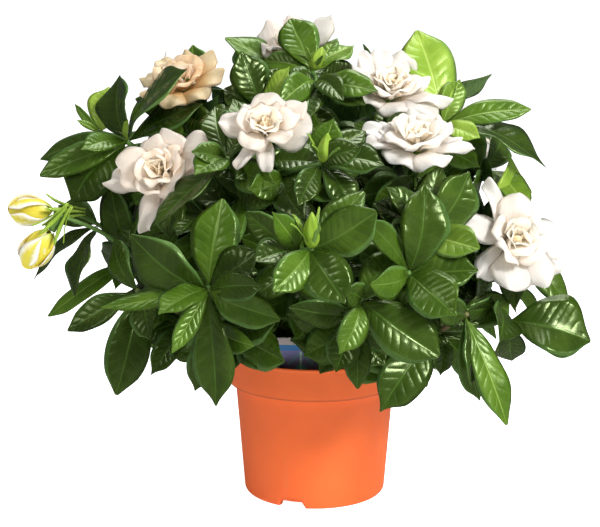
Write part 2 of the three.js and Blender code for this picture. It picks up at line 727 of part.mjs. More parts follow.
// Blooms and opening buds first, then every stem, then the leaves, which give way to them all
for (const stem of stems) {
  stem.parts = [];
  for (const [order, shoot] of stem.shoots.entries()) {
    const corners = shootCorners(stem, order);
    const end = corners.at(-1);
    const shaft = order === 0 ? tube(corners, stemRadius, stemSides) : tube(corners, twigRadius, twigSides);
    stem.parts.push(place(stem.name, shaft));
    const flower = shoot.bloom ?? shoot.bud;
    if (!flower) continue;
    const axis = vector(flower.facing).normalize();
    const neck = end.clone().addScaledVector(axis, 12);
    const seat = neck.clone().addScaledVector(axis, 0.3);
    if (shoot.bloom) {
      const turn = golden * group.children.length;
      const bloom = place(flower.name, onePiece(bloomSolid(seat, axis, flower.reach, turn)));
      addNode(flower.name, bloom, petalCream);
    } else if (flower.name) {
      const bud = place(flower.name, onePiece(openingBudSolid(seat, axis, flower.reach, flower.petals)));
      addNode(flower.name, bud, budYellow);
    }
    if (flower.name) {
      stem.parts.push(place(stem.name, bar(end.clone().addScaledVector(axis, -1), neck, 1.7, 3.2)));
    } else {
      for (const part of greenBudSolids(end, axis, flower.reach)) stem.parts.push(place(stem.name, part));
    }
  }
}

for (const stem of stems) {
  const [lean, widen] = frontStems.includes(stem) ? [frontLean, seenAslant] : [backLean, 1];
  for (const { knots } of stem.shoots) {
    for (const knot of knots) {
      for (const [right, back, up, width] of knot.leaves) {
        const reach = new THREE.Vector3(right, back, up);
        const leaf = placeLeaf(stem.name, vector(knot.at), reach, width * widen, lean);
        if (leaf) stem.parts.push(leaf);
      }
    }
  }
  for (const reach of lowLeaves(stem)) {
    const leaf = placeLeaf(stem.name, stem.fork, reach, lowLeafWidth, lean);
    if (leaf) stem.parts.push(leaf);
  }
  addNode(stem.name, wasm.Manifold.union(stem.parts), leafGreen);
}

export default group;
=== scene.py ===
import math
from functools import partial, reduce

import bpy
import numpy as np
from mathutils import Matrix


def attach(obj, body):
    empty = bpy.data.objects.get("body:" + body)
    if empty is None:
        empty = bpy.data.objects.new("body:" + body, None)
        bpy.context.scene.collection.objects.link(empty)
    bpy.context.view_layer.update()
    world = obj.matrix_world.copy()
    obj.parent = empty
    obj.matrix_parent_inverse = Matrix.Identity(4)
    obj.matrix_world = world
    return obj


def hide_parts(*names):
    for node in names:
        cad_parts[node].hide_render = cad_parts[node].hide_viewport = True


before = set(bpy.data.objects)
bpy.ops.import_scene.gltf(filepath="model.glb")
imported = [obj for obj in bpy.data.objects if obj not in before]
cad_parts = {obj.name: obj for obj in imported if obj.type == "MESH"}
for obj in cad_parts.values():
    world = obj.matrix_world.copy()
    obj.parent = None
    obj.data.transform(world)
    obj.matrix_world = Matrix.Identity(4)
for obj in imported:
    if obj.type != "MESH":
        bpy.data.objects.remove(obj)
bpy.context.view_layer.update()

# Camera, floor and light
# A pale studio table that runs out of view, a soft box high on the right in front, a weaker one on
# the left, a broad one above, and a camera a little above the bush that looks slightly down.
CAMERA_PLACE = (-0.011, -0.9567, 0.3521)
CAMERA_PITCH = 10.69
LENS = 78.86
SENSOR = 36.0
TABLE_HALF = 9.0
WHITE = (1.0, 1.0, 1.0)
TABLE_GREY = (0.8, 0.8, 0.8)
TABLE_IN_GLOSS = (0.16, 0.16, 0.16)
# how strongly the room and the table shine, how much less in gloss and how much more in view
ROOM_GLOW = (0.32, 0.20, 0.8)
TABLE_GLOW = (0.35, 0.3, 0.7)
# each lamp's place, the point that it shines at, its side in metres and its power in watts
LAMPS = {
    "key_box": ((1.05, -1.1, 1.15), (0, 0, 0.2), 0.5, 38),
    "fill_box": ((-1.0, -0.9, 1.1), (0, 0, 0.25), 0.5, 5),
    "top_box": ((0.2, 0.4, 1.6), (0, 0, 0.25), 0.8, 17),
}

scene = bpy.context.scene
scene.view_settings.view_transform = "Standard"


def placed(name, data):
    """A new object in the scene, at the origin."""
    item = bpy.data.objects.new(name, data)
    scene.collection.objects.link(item)
    return item


camera_data = bpy.data.cameras.new("camera")
camera_data.sensor_fit = "HORIZONTAL"
camera_data.sensor_width = SENSOR
camera_data.lens = LENS
camera_data.clip_start = 0.01
camera = placed("camera", camera_data)
camera.location = CAMERA_PLACE
camera.rotation_euler = (math.radians(90 - CAMERA_PITCH), 0, 0)
scene.camera = camera

for name, (place, aim, side, power) in LAMPS.items():
    lamp = bpy.data.lights.new(name, "AREA")
    lamp.shape = "SQUARE"
    lamp.size = side
    lamp.energy = power
    holder = placed(name, lamp)
    holder.location = place
    right, back, up = np.subtract(aim, place)
    tilt, turn = math.atan2(math.hypot(right, back), -up), math.atan2(back, right) - math.pi / 2
    holder.rotation_euler = (tilt, 0, turn)


def feed(node, **inputs):
    """Sets inputs of a node to values, or to the sockets that feed them. An input goes by its name, with
    _ for a space, or by its number after a _."""
    for name, value in inputs.items():
        socket = node.inputs[int(name[1:]) if name[0] == "_" else name.replace("_", " ")]
        if isinstance(value, bpy.types.NodeSocket):
            node.id_data.links.new(value, socket)
        else:
            socket.default_value = (*value, 1.0) if socket.type == "RGBA" else value
    return node


def wire(tree, kind, settings=(), **inputs):
    """A new shader node of a kind, with its settings and its inputs."""
    node = tree.nodes.new("ShaderNode" + kind)
    for name, value in dict(settings).items():
        setattr(node, name, value)
    return feed(node, **inputs)


def finish_of(name):
    """A new material, with its node tree and its Principled shader."""
    material = bpy.data.materials.new(name)
    material.use_nodes = True
    return material, material.node_tree, material.node_tree.nodes["Principled BSDF"]


def maths(operation, *values):
    """One step of arithmetic on numbers and sockets, in the node tree of its first socket."""
    tree = next(value.id_data for value in values if isinstance(value, bpy.types.NodeSocket))
    inputs = {f"_{number}": value for number, value in enumerate(values)}
    return wire(tree, "Math", {"operation": operation}, **inputs).outputs[0]


# a sum, a difference, and a size without its sign
plus, minus, size_of = partial(maths, "ADD"), partial(maths, "SUBTRACT"), partial(maths, "ABSOLUTE")


def times(*values):
    """The product of numbers and sockets."""
    return reduce(partial(maths, "MULTIPLY"), values)


def blend(share, first, second):
    """The first colour where the share is 0, the second where it is 1."""
    return wire(share.id_data, "Mix", {"data_type": "RGBA"}, _0=share, _6=first, _7=second).outputs[2]


def glow(tree, level, less_in_gloss, more_in_view):
    """How strongly a surface shines: a level, less where gloss mirrors it, more where it is in view."""
    ray = wire(tree, "LightPath").outputs
    level = minus(level, times(ray["Is Glossy Ray"], less_in_gloss))
    return plus(level, times(ray["Is Camera Ray"], more_in_view))


# the wall behind is bright, the room that lights the plant is dimmer, and gloss mirrors its dark side
world = bpy.data.worlds.new("studio")
scene.world = world
world.use_nodes = True
feed(world.node_tree.nodes["Background"], Color=WHITE, Strength=glow(world.node_tree, *ROOM_GLOW))

floor_finish, tree, shader = finish_of("pale_table")
in_gloss = wire(tree, "LightPath").outputs["Is Glossy Ray"]
feed(shader, Base_Color=blend(in_gloss, TABLE_GREY, TABLE_IN_GLOSS), Roughness=0.6, Specular_IOR_Level=0.1,
     Emission_Color=WHITE, Emission_Strength=glow(tree, *TABLE_GLOW))
floor_mesh = bpy.data.meshes.new("table_top")
corners = np.array([(-1, -1, 0), (1, -1, 0), (1, 1, 0), (-1, 1, 0)]) * TABLE_HALF
floor_mesh.from_pydata(corners, [], [(0, 1, 2, 3)])
floor_mesh.materials.append(floor_finish)
floor = placed("table_top", floor_mesh)


# Pot
# A round nursery pot, moulded in one thin shell of orange plastic. It tapers to its foot, has a
# deep collar under the rim, a raised ring with drain holes in its floor and notches in its foot.
MM = 0.001
POT_PROFILE = [  # radius and height in mm, outside from the middle of the hub, and back inside
    (0, 0), (24, 0), (26.5, 5.5), (46, 5.5), (48, 0), (52.2, 0), (52.9, 1.4), (59.4, 83.5), (64.2, 83.9),
    (65.0, 85.2), (64.6, 105.2), (65.0, 106.2), (64.9, 107.3), (64.4, 107.7), (63.6, 107.6), (63.3, 106.8),
    (63.3, 88.5), (57.8, 84.5), (51.2, 7.1), (25.5, 7.1), (23, 1.6), (0, 1.6),
]
POT_CORNER = 0.35
POT_LONGEST_STEP = 8.0
POT_AROUND = 240
FOOT_INSIDE = 46.9
FOOT_TOP = 6.0
FOOT_RADIUS = 50.0
NOTCH_TURNS = (251, 11, 131)
NOTCH_HEIGHT = 5.0
NOTCH_HALF = 9.5
NOTCH_SLOPE = 1.4
DRAIN_HOLES = 6
DRAIN_RING = 36.0
DRAIN_RADIUS = 4.0
DRAIN_AROUND = 32
DRILL_HEIGHTS = (3.0, 10.0)
POT_ORANGES = ((0.88, 0.150, 0.030), (0.94, 0.170, 0.037))
# dust and grime are dirt; the third colour is painted shade, a dark line under the collar's lip
DUST, GRIME, PAINTED_COLLAR_SHADE = (0.62, 0.3, 0.17), (0.3, 0.12, 0.06), (0.25, 0.05, 0.02)
# heights in metres where each mask is still 0 and where it is full
DUST_HEIGHTS = (0.05, 0.0)
GRIME_HEIGHTS = (0.1035, 0.108)
# the band of painted shade just under the collar's lip, where the collar overhangs the body
COLLAR_SHADE_LOWER, COLLAR_SHADE_UPPER = (0.0828, 0.0839), (0.0860, 0.0846)


def even_turns(count):
    """Angles at even turns of a circle."""
    return np.arange(count) * 2 * np.pi / count


def circle(turns):
    """The points of a circle of radius one at some turns."""
    return np.stack([np.cos(turns), np.sin(turns)], -1)


def rounded(profile, corner):
    """Each corner becomes three points: the corner less and plus a short way along its two edges, and
    between them the middle of the arc, (before + 2 corner + after) / 4."""
    points = np.array(profile, float)
    at = points[1:-1]
    ways = np.stack([points[:-2] - at, points[2:] - at])
    lengths = np.linalg.norm(ways, axis=-1, keepdims=True)
    first, last = at + ways / lengths * np.minimum(corner, 0.4 * lengths.min(0))
    middle = (first + 2 * at + last) / 4
    return np.concatenate([points[:1], np.stack([first, middle, last], 1).reshape(-1, 2), points[-1:]])


def subdivided(profile, longest):
    """Long straight stretches of a profile are split evenly, so that no step is over the longest."""
    steps = np.maximum(1, np.ceil(np.linalg.norm(np.diff(profile, axis=0), axis=1) / longest)).astype(int)
    pieces = [a + (b - a) * np.arange(n)[:, None] / n for a, b, n in zip(profile[:-1], profile[1:], steps)]
    return np.concatenate([*pieces, profile[-1:]])


def with_ends(values):
    """The values of a grid, ring after ring, and then the means of its first and its last ring."""
    return np.concatenate([values.reshape(len(values), -1, values.shape[-1]), values[:, [0, -1]].mean(2)], 1)


def skin(grid):
    """A grid of points, copies by rings by places around, becomes quads, and triangles close both ends
    on the middle of their ring. Faces point out where the rings advance along the right-hand axis of
    their turn. On the second half of a ring each quad starts one corner on, so that the two faces of a
    thin blade are split along the same diagonals and don't cross."""
    copies, rings, around = grid.shape[:3]
    points = with_ends(grid)
    here = np.arange(rings * around).reshape(rings, around)
    beside = np.roll(here, -1, axis=1)
    quads = np.stack([here[:-1], beside[:-1], beside[1:], here[1:]], -1)
    quads[:, around // 2:] = np.roll(quads[:, around // 2:], -1, axis=-1)
    start = np.stack([np.full(around, rings * around), beside[0], here[0]], -1)
    end = np.stack([np.full(around, rings * around + 1), here[-1], beside[-1]], -1)
    shift = np.arange(copies)[:, None, None] * points.shape[1]
    quads = quads.reshape(-1, 4) + shift
    triangles = np.concatenate([start, end]) + shift
    return points.reshape(-1, 3), quads.reshape(-1, 4), triangles.reshape(-1, 3)


def mesh_of(name, grids, shade_flat=False):
    """One mesh out of grids in millimetres: first the quads of all, then their triangles."""
    points, quads, triangles = zip(*map(skin, grids))
    starts = np.cumsum([0, *map(len, points[:-1])])
    quads, triangles = (np.concatenate([face + start for face, start in zip(faces, starts)])
                        for faces in (quads, triangles))
    points = np.concatenate(points) * MM
    mesh = bpy.data.meshes.new(name)
    mesh.from_pydata(points.tolist(), [], quads.tolist() + triangles.tolist(), shade_flat=shade_flat)
    return mesh


def piece_of(name, grids, finish, **notes):
    """One smooth piece out of grids. Notes are named vectors that its material reads, for each grid
    three numbers at each of its points."""
    mesh = mesh_of(name, grids)
    for title, values in notes.items():
        vectors = np.concatenate([with_ends(value).ravel() for value in values])
        mesh.attributes.new(title, "FLOAT_VECTOR", "POINT").data.foreach_set("vector", np.float32(vectors))
    mesh.materials.append(finish)
    piece = placed(name, mesh)
    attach(piece, "root")
    return piece


def step(low, high, value):
    """A smooth step: 0 up to low, 1 from high on."""
    smooth = {"interpolation_type": "SMOOTHSTEP"}
    return wire(value.id_data, "MapRange", smooth, Value=value, From_Min=low, From_Max=high).outputs["Result"]


def noise(place, scale, detail):
    """Cloudy noise between 0 and 1 over a place, with so many patches to the metre."""
    return wire(place.id_data, "TexNoise", Vector=place, Scale=scale, Detail=detail).outputs["Fac"]


def bump(height, distance, strength, **under):
    """The surface normal turned by a height in units of a distance, on top of a normal under it."""
    inputs = {"Height": height, "Distance": distance, "Strength": strength, **under}
    return wire(height.id_data, "Bump", **inputs).outputs["Normal"]


def drawn_out(place, share):
    """A place squeezed in its height, so that a pattern on it is drawn out upwards."""
    return wire(place.id_data, "Mapping", Vector=place, Scale=(1.0, 1.0, share)).outputs[0]


def layered(colour, *layers):
    """Colours laid over a first one, each by a mask and how strongly it covers where the mask is full."""
    for mask, strength, layer in layers:
        colour = blend(times(mask, strength), colour, layer)
    return colour


def group_of(name, inputs, outputs):
    """An empty shader node group, with the titles of its sockets by kind. Gives its tree, the sockets that
    bring its inputs and the node that takes its outputs."""
    tree = bpy.data.node_groups.new(name, "ShaderNodeTree")
    for way, sockets in (("INPUT", inputs), ("OUTPUT", outputs)):
        for kind, titles in sockets.items():
            for title in titles.split():
                tree.interface.new_socket(title, in_out=way, socket_type="NodeSocket" + kind)
    return tree, tree.nodes.new("NodeGroupInput").outputs, tree.nodes.new("NodeGroupOutput")


# cloudy patches in which one colour gives way to another, on pot, soil, leaves and petals
mottling, given, gives = group_of(
    "two_colour_mottling",
    {"Vector": "Place", "Float": "Scale Detail Low High Strength", "Color": "First Second"},
    {"Color": "Colour", "Float": "Share Clouds"})
clouds = noise(given["Place"], given["Scale"], given["Detail"])
share = times(step(given["Low"], given["High"], clouds), given["Strength"])
feed(gives, Colour=blend(share, given["First"], given["Second"]), Share=share, Clouds=clouds)

# the fine grain of moulded plastic, leaves and buds, as a turn of the surface normal
grain, given, gives = group_of(
    "fine_grain", {"Vector": "Place", "Float": "Scale Detail Depth Strength"}, {"Vector": "Normal"})
height = noise(given["Place"], given["Scale"], given["Detail"])
feed(gives, Normal=bump(height, given["Depth"], given["Strength"]))


def mottled(place, scale, detail, low, high, first, second, strength=1.0):
    """The mottling group in a material: its colour, the share of the second colour and the bare clouds."""
    return wire(place.id_data, "Group", {"node_tree": mottling}, Place=place, Scale=scale, Detail=detail,
                Low=low, High=high, Strength=strength, First=first, Second=second).outputs.values()


def grained(place, scale, detail, depth, strength):
    """The fine grain group in a material: the normal that it gives."""
    return wire(place.id_data, "Group", {"node_tree": grain}, Place=place, Scale=scale, Detail=detail,
                Depth=depth, Strength=strength).outputs["Normal"]


pot_finish, tree, shader = finish_of("orange_pot_plastic")
place = wire(tree, "TexCoord").outputs["Object"]
height = wire(tree, "SeparateXYZ", Vector=place).outputs["Z"]
colour, _, clouds = mottled(place, 22.0, 3.0, 0.3, 0.75, *POT_ORANGES)
dust = times(step(0.62, 0.8, noise(drawn_out(place, 0.06), 160.0, 3.0)), step(*DUST_HEIGHTS, height))
grime = times(step(0.5, 0.7, noise(place, 70.0, 4.0)), step(*GRIME_HEIGHTS, height))
# a thin dark line of painted shade under the collar's lip, where it overhangs the body
painted_collar_shade = times(step(*COLLAR_SHADE_LOWER, height), step(*COLLAR_SHADE_UPPER, height))
colour = layered(colour, (dust, 0.25, DUST), (grime, 0.3, GRIME), (painted_collar_shade, 0.6, PAINTED_COLLAR_SHADE))
feed(shader, Base_Color=colour, Roughness=step(-0.9, 1.9, clouds), Specular_IOR_Level=0.25,
     Subsurface_Weight=0.06, Subsurface_Scale=0.002, Normal=grained(place, 900.0, 3.0, 0.0002, 0.25))

profile = subdivided(rounded(POT_PROFILE, POT_CORNER), POT_LONGEST_STEP)[1:-1]
turns = even_turns(POT_AROUND)
radius, level = profile[:, :1], np.repeat(profile[:, 1:], POT_AROUND, 1)
from_notches = (turns[:, None] - np.radians(NOTCH_TURNS) + np.pi) % (2 * np.pi) - np.pi
to_notch = np.abs(from_notches).min(1) * FOOT_RADIUS
lift = NOTCH_HEIGHT * np.clip((NOTCH_HALF - to_notch) / NOTCH_SLOPE, 0, 1)
level = np.where((radius > FOOT_INSIDE) & (level < FOOT_TOP), np.maximum(level, lift), level)
shell = np.stack([radius * np.cos(turns), radius * np.sin(turns), level], -1)[None]
pot = piece_of("pot_shell", [shell], pot_finish)

# the drain holes are cut by six short rods
spots = circle(even_turns(DRAIN_HOLES))[:, None, None] * DRAIN_RING
discs = np.repeat(spots + circle(even_turns(DRAIN_AROUND)) * DRAIN_RADIUS, len(DRILL_HEIGHTS), 1)
levels = np.broadcast_to(np.reshape(DRILL_HEIGHTS, (-1, 1, 1)), (*discs.shape[:3], 1))
rods = np.concatenate([discs, levels], -1)
driller = placed("drain_drill", mesh_of("drain_drill", [rods], shade_flat=True))
cut = pot.modifiers.new("drain_holes", "BOOLEAN")
cut.object = driller
cut.operation = "DIFFERENCE"
cut.solver = "EXACT"
bpy.context.view_layer.update()
drilled = bpy.data.meshes.new_from_object(pot.evaluated_get(bpy.context.evaluated_depsgraph_get()))
pot.modifiers.clear()
pot.data = drilled
bpy.data.objects.remove(driller)
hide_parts("pot")


# Potting soil
# Damp peat and bark that fills the pot to a finger below the rim, heaped a little round the stems,
# with loose crumbs on top.
SOIL_SIDE = [(50.8, 7.5), (57.5, 84.5), (62.9, 89.1), (62.9, 95.0)]
SOIL_RADIUS = 62.9
SOIL_RINGS = 46
SOIL_AROUND = 120
SOIL_EDGE = 96.0
SOIL_MOUND = 3.0
MOUND_RADIUS = 63.0
LUMP_SIZE, LUMP_HEIGHT = 13, 1.6
CLOD_SIZE, CLOD_HEIGHT = 3.4, 1.1
CRUMBS = 420
CRUMB_SIZES = (0.7, 2.3)
CRUMB_REACH = 61
CRUMB_LIFT = 0.6
PEAT, BARK_CHIPS = ((0.012, 0.008, 0.005), (0.06, 0.035, 0.02)), (0.11, 0.06, 0.03)


def smooth_noise(x, y, seed, size):
    """Values of a seeded random lattice of 64 by 64 cells, each of a size, blended between the four
    corners of a cell by 3t^2 - 2t^3. The lattice starts 200 mm to the left and in front."""
    table = np.random.default_rng(seed).uniform(-1, 1, (64, 64))
    u, v = (x + 200) / size, (y + 200) / size
    i, j = np.floor(u).astype(int), np.floor(v).astype(int)
    s, t = u - i, v - j
    s, t = s * s * (3 - 2 * s), t * t * (3 - 2 * t)
    i, j, right, back = i % 64, j % 64, (i + 1) % 64, (j + 1) % 64
    front_row = table[i, j] * (1 - s) + table[right, j] * s
    return front_row * (1 - t) + (table[i, back] * (1 - s) + table[right, back] * s) * t


def balls(centres, sizes, seed, rings=4, around=6, rough=0.3):
    """Small lumps: points of a sphere, sin and cos of two angles, each scaled by its own random size and
    pushed in or out at random."""
    random = np.random.default_rng(seed)
    tilt, turn = np.linspace(0.25, np.pi - 0.25, rings)[:, None], even_turns(around)
    flat, high = np.sin(tilt), -np.cos(tilt) + 0 * turn
    sphere = np.stack([flat * np.cos(turn), flat * np.sin(turn), high], -1)
    wobble = 1 + rough * random.uniform(-1, 1, (len(centres), rings, around, 1))
    stretch = random.uniform(0.6, 1.2, (len(centres), 1, 1, 3))
    return centres[:, None, None] + sphere * wobble * stretch * sizes[:, None, None, None]


soil_finish, tree, shader = finish_of("damp_potting_soil")
place = wire(tree, "TexCoord").outputs["Object"]
colour, _, grains = mottled(place, 420.0, 6.0, 0.35, 0.7, *PEAT)
feed(shader, Base_Color=blend(step(0.62, 0.7, noise(place, 130.0, 3.0)), colour, BARK_CHIPS), Roughness=0.9,
     Normal=bump(grains, 0.0012, 0.9))

side = np.array(SOIL_SIDE)
share = np.linspace(0.995, 0.02, SOIL_RINGS)
radius = np.concatenate([side[:, 0], SOIL_RADIUS * share])[:, None]
x, y = np.moveaxis(radius[..., None] * circle(even_turns(SOIL_AROUND)), -1, 0)
mound = np.concatenate([side[:, 1], SOIL_EDGE + SOIL_MOUND * (1 - share**2)])[:, None]
on_top = (np.arange(len(radius)) >= len(side))[:, None]
lumps, clods = smooth_noise(x, y, 3, LUMP_SIZE), smooth_noise(x, y, 4, CLOD_SIZE)
z = mound + on_top * (LUMP_HEIGHT * lumps + CLOD_HEIGHT * clods)
random = np.random.default_rng(5)
spread = CRUMB_REACH * np.sqrt(random.uniform(0, 1, CRUMBS))
crumbs = spread[:, None] * circle(random.uniform(0, 2 * np.pi, CRUMBS))
top = SOIL_EDGE + SOIL_MOUND * (1 - (spread / MOUND_RADIUS) ** 2)
top = top + LUMP_HEIGHT * smooth_noise(*crumbs.T, 3, LUMP_SIZE) + CRUMB_LIFT
loose = balls(np.column_stack([crumbs, top]), random.uniform(*CRUMB_SIZES, CRUMBS), 6)
soil = piece_of("potting_soil", [np.stack([x, y, z], -1)[None], loose], soil_finish)
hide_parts("soil")


# Plant label
# A thin printed plastic tag with a stake, pushed into the soil just behind the front rim. Its print
# is plain: a violet-blue field that pales downwards, a pale edge line and a simple sprig of leaves.
LABEL_PLACE = (-10.5, -47.0)
LABEL_LEAN = 7.0
LABEL_PIVOT = 96.0
# height and half width in mm
LABEL_OUTLINE = [(68, 1.5), (78, 8), (96, 8), (113, 25), (123, 25), (125.1, 24.1), (126, 22)]
LABEL_THICKNESS = 0.9
LABEL_ACROSS = 13
LABEL_HALF = 25
LABEL_BOW = 1.2
LABEL_FOOT = (0.20, 0.13, 0.24)
# heights where each band of the print begins and where it has taken over, and its colour
LABEL_BANDS = [(98.0, 116.0, (0.26, 0.24, 0.55)), (116.5, 117.0, (0.05, 0.25, 0.62)),
               (120.5, 121.0, (0.55, 0.48, 0.46))]
SPRIG_MIDDLE, SPRIG_REACH, SPRIG_TOP = 107.0, 9.0, 116.0
SPRIG_LEAVES, SPRIG_STALK, LABEL_EDGE = (0.12, 0.42, 0.40), (0.55, 0.75, 0.65), (0.75, 0.75, 0.82)


def note_of(tree, title):
    """The three numbers of a note on the mesh's points."""
    vector = wire(tree, "Attribute", {"attribute_name": title}).outputs["Vector"]
    return wire(tree, "SeparateXYZ", Vector=vector).outputs.values()


def noted(grid, *values):
    """Three values, numbers or arrays, for each point of a grid."""
    return np.stack([np.broadcast_to(value, grid.shape[:3]) for value in values], -1)


label_finish, tree, shader = finish_of("printed_label_plastic")
across, up, to_edge = note_of(tree, "label_place")
across = size_of(across)
vein = maths("SINE", times(plus(up, across), 0.55))
in_sprig = maths("LESS_THAN", across, minus(SPRIG_REACH, size_of(minus(up, SPRIG_MIDDLE))))
stalk = times(maths("LESS_THAN", across, 0.7), maths("LESS_THAN", up, SPRIG_TOP))
colour = layered(LABEL_FOOT, *[(step(low, high, up), 1.0, band) for low, high, band in LABEL_BANDS],
                 (times(step(0.1, 0.5, vein), in_sprig), 1.0, SPRIG_LEAVES), (stalk, 1.0, SPRIG_STALK),
                 (maths("GREATER_THAN", to_edge, 0.93), 1.0, LABEL_EDGE))
place = wire(tree, "TexCoord").outputs["Object"]
feed(shader, Base_Color=colour, Roughness=0.28, Normal=grained(place, 500.0, 2.0, 0.0001, 0.3))

outline = subdivided(rounded(LABEL_OUTLINE, 0.4), 3.0)
rise, half_width = outline[:, :1], outline[:, 1:]
to_right = np.linspace(-1, 1, LABEL_ACROSS)
share = np.concatenate([to_right, -to_right])
x = half_width * share
depth = LABEL_BOW * (x / LABEL_HALF) ** 2 - np.repeat([0.5, -0.5], LABEL_ACROSS) * LABEL_THICKNESS
lean = math.radians(LABEL_LEAN)
y = LABEL_PLACE[1] + depth * math.cos(lean) + (rise - LABEL_PIVOT) * math.sin(lean)
z = LABEL_PIVOT + (rise - LABEL_PIVOT) * math.cos(lean) - depth * math.sin(lean)
grid = np.stack([x + LABEL_PLACE[0], y, z], -1)[None]
label = piece_of("plant_label_tag", [grid], label_finish, label_place=[noted(grid, x, rise, np.abs(share))])
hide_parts("plant_label")


# Leafy stems of the front
# Green-brown woody stems that rise from the soil and fork. Leathery glossy leaves stand at their
# knots: dark and waxy when old, bright green and softer when young, quilted between their veins.
STEM_RADIUS = 2.3
TWIG_RADIUS = 1.7
TAPER = 0.72
STEM_FOOT = 75.0
STEM_RISE = 104.0
WOOD_BELOW, WOOD_FADES = 90, 130
NECK = 12
BLOOM_NECK = (3.3, 14, 6.5, 32.0)  # top radius, length of its sepals, their start below it, their tilt
LEAF_THICKNESS = 0.5
VEIN_PAIRS = 9.5
MOST_ROLL = 24
# the table's widths are those seen in the photograph, where most leaves stand aslant
SEEN_ASLANT = 1.25
# what the leaves' faces turn to, on top of the way out from the middle of the bush
TO_THE_FRONT, UPWARDS = (0, -1.45, 0.5), (0, 0, 0.9)
BUSH_CENTRE = np.array([0.0, 0.0, 170.0])
GOLDEN = 137.5
# inner leaves: where their whorls begin on a first and on a forked shoot, how far apart they stand, and
# the lower and upper bounds of their swing in radians, tilt in degrees and length in mm
FIRST_WHORL = (26.0, 14.0)
WHORL_SPACING = 15.0
LOWEST_LEAF = 112
INNER_BOUNDS = (-0.25, 55, 38), (0.25, 82, 56)
INNER_WIDTHS = (22, 30)
INNER_TONES = [0.12, 0.2, 0.28, 0.38]
INNER_CENTRE, INNER_HALVES = [0, 0, 190], [158, 150, 128]
# balls of x, y, z and radius that show the label and the pot's rim between the leaves
SHOWN_BALLS = [(-18.5, -68.0, 114.0, 30.0), (-38.0, -80.0, 104.0, 22.0)]
OLD_GREENS = ((0.016, 0.033, 0.003), (0.028, 0.054, 0.005))
MIDDLE_GREENS = ((0.045, 0.100, 0.006), (0.075, 0.150, 0.010))
YOUNG_GREENS = ((0.22, 0.36, 0.03), (0.33, 0.48, 0.06))
# pale greens of veins and midrib, also laid on each leaf's rim, partly as painted highlight
VEIN_GREENS = ((0.055, 0.12, 0.015), (0.40, 0.55, 0.12))
TWIG_GREENS = ((0.06, 0.15, 0.03), (0.12, 0.22, 0.05))
BARK_BROWNS = ((0.10, 0.062, 0.033), (0.22, 0.15, 0.085))
UNDERSIDE = (0.13, 0.27, 0.07)
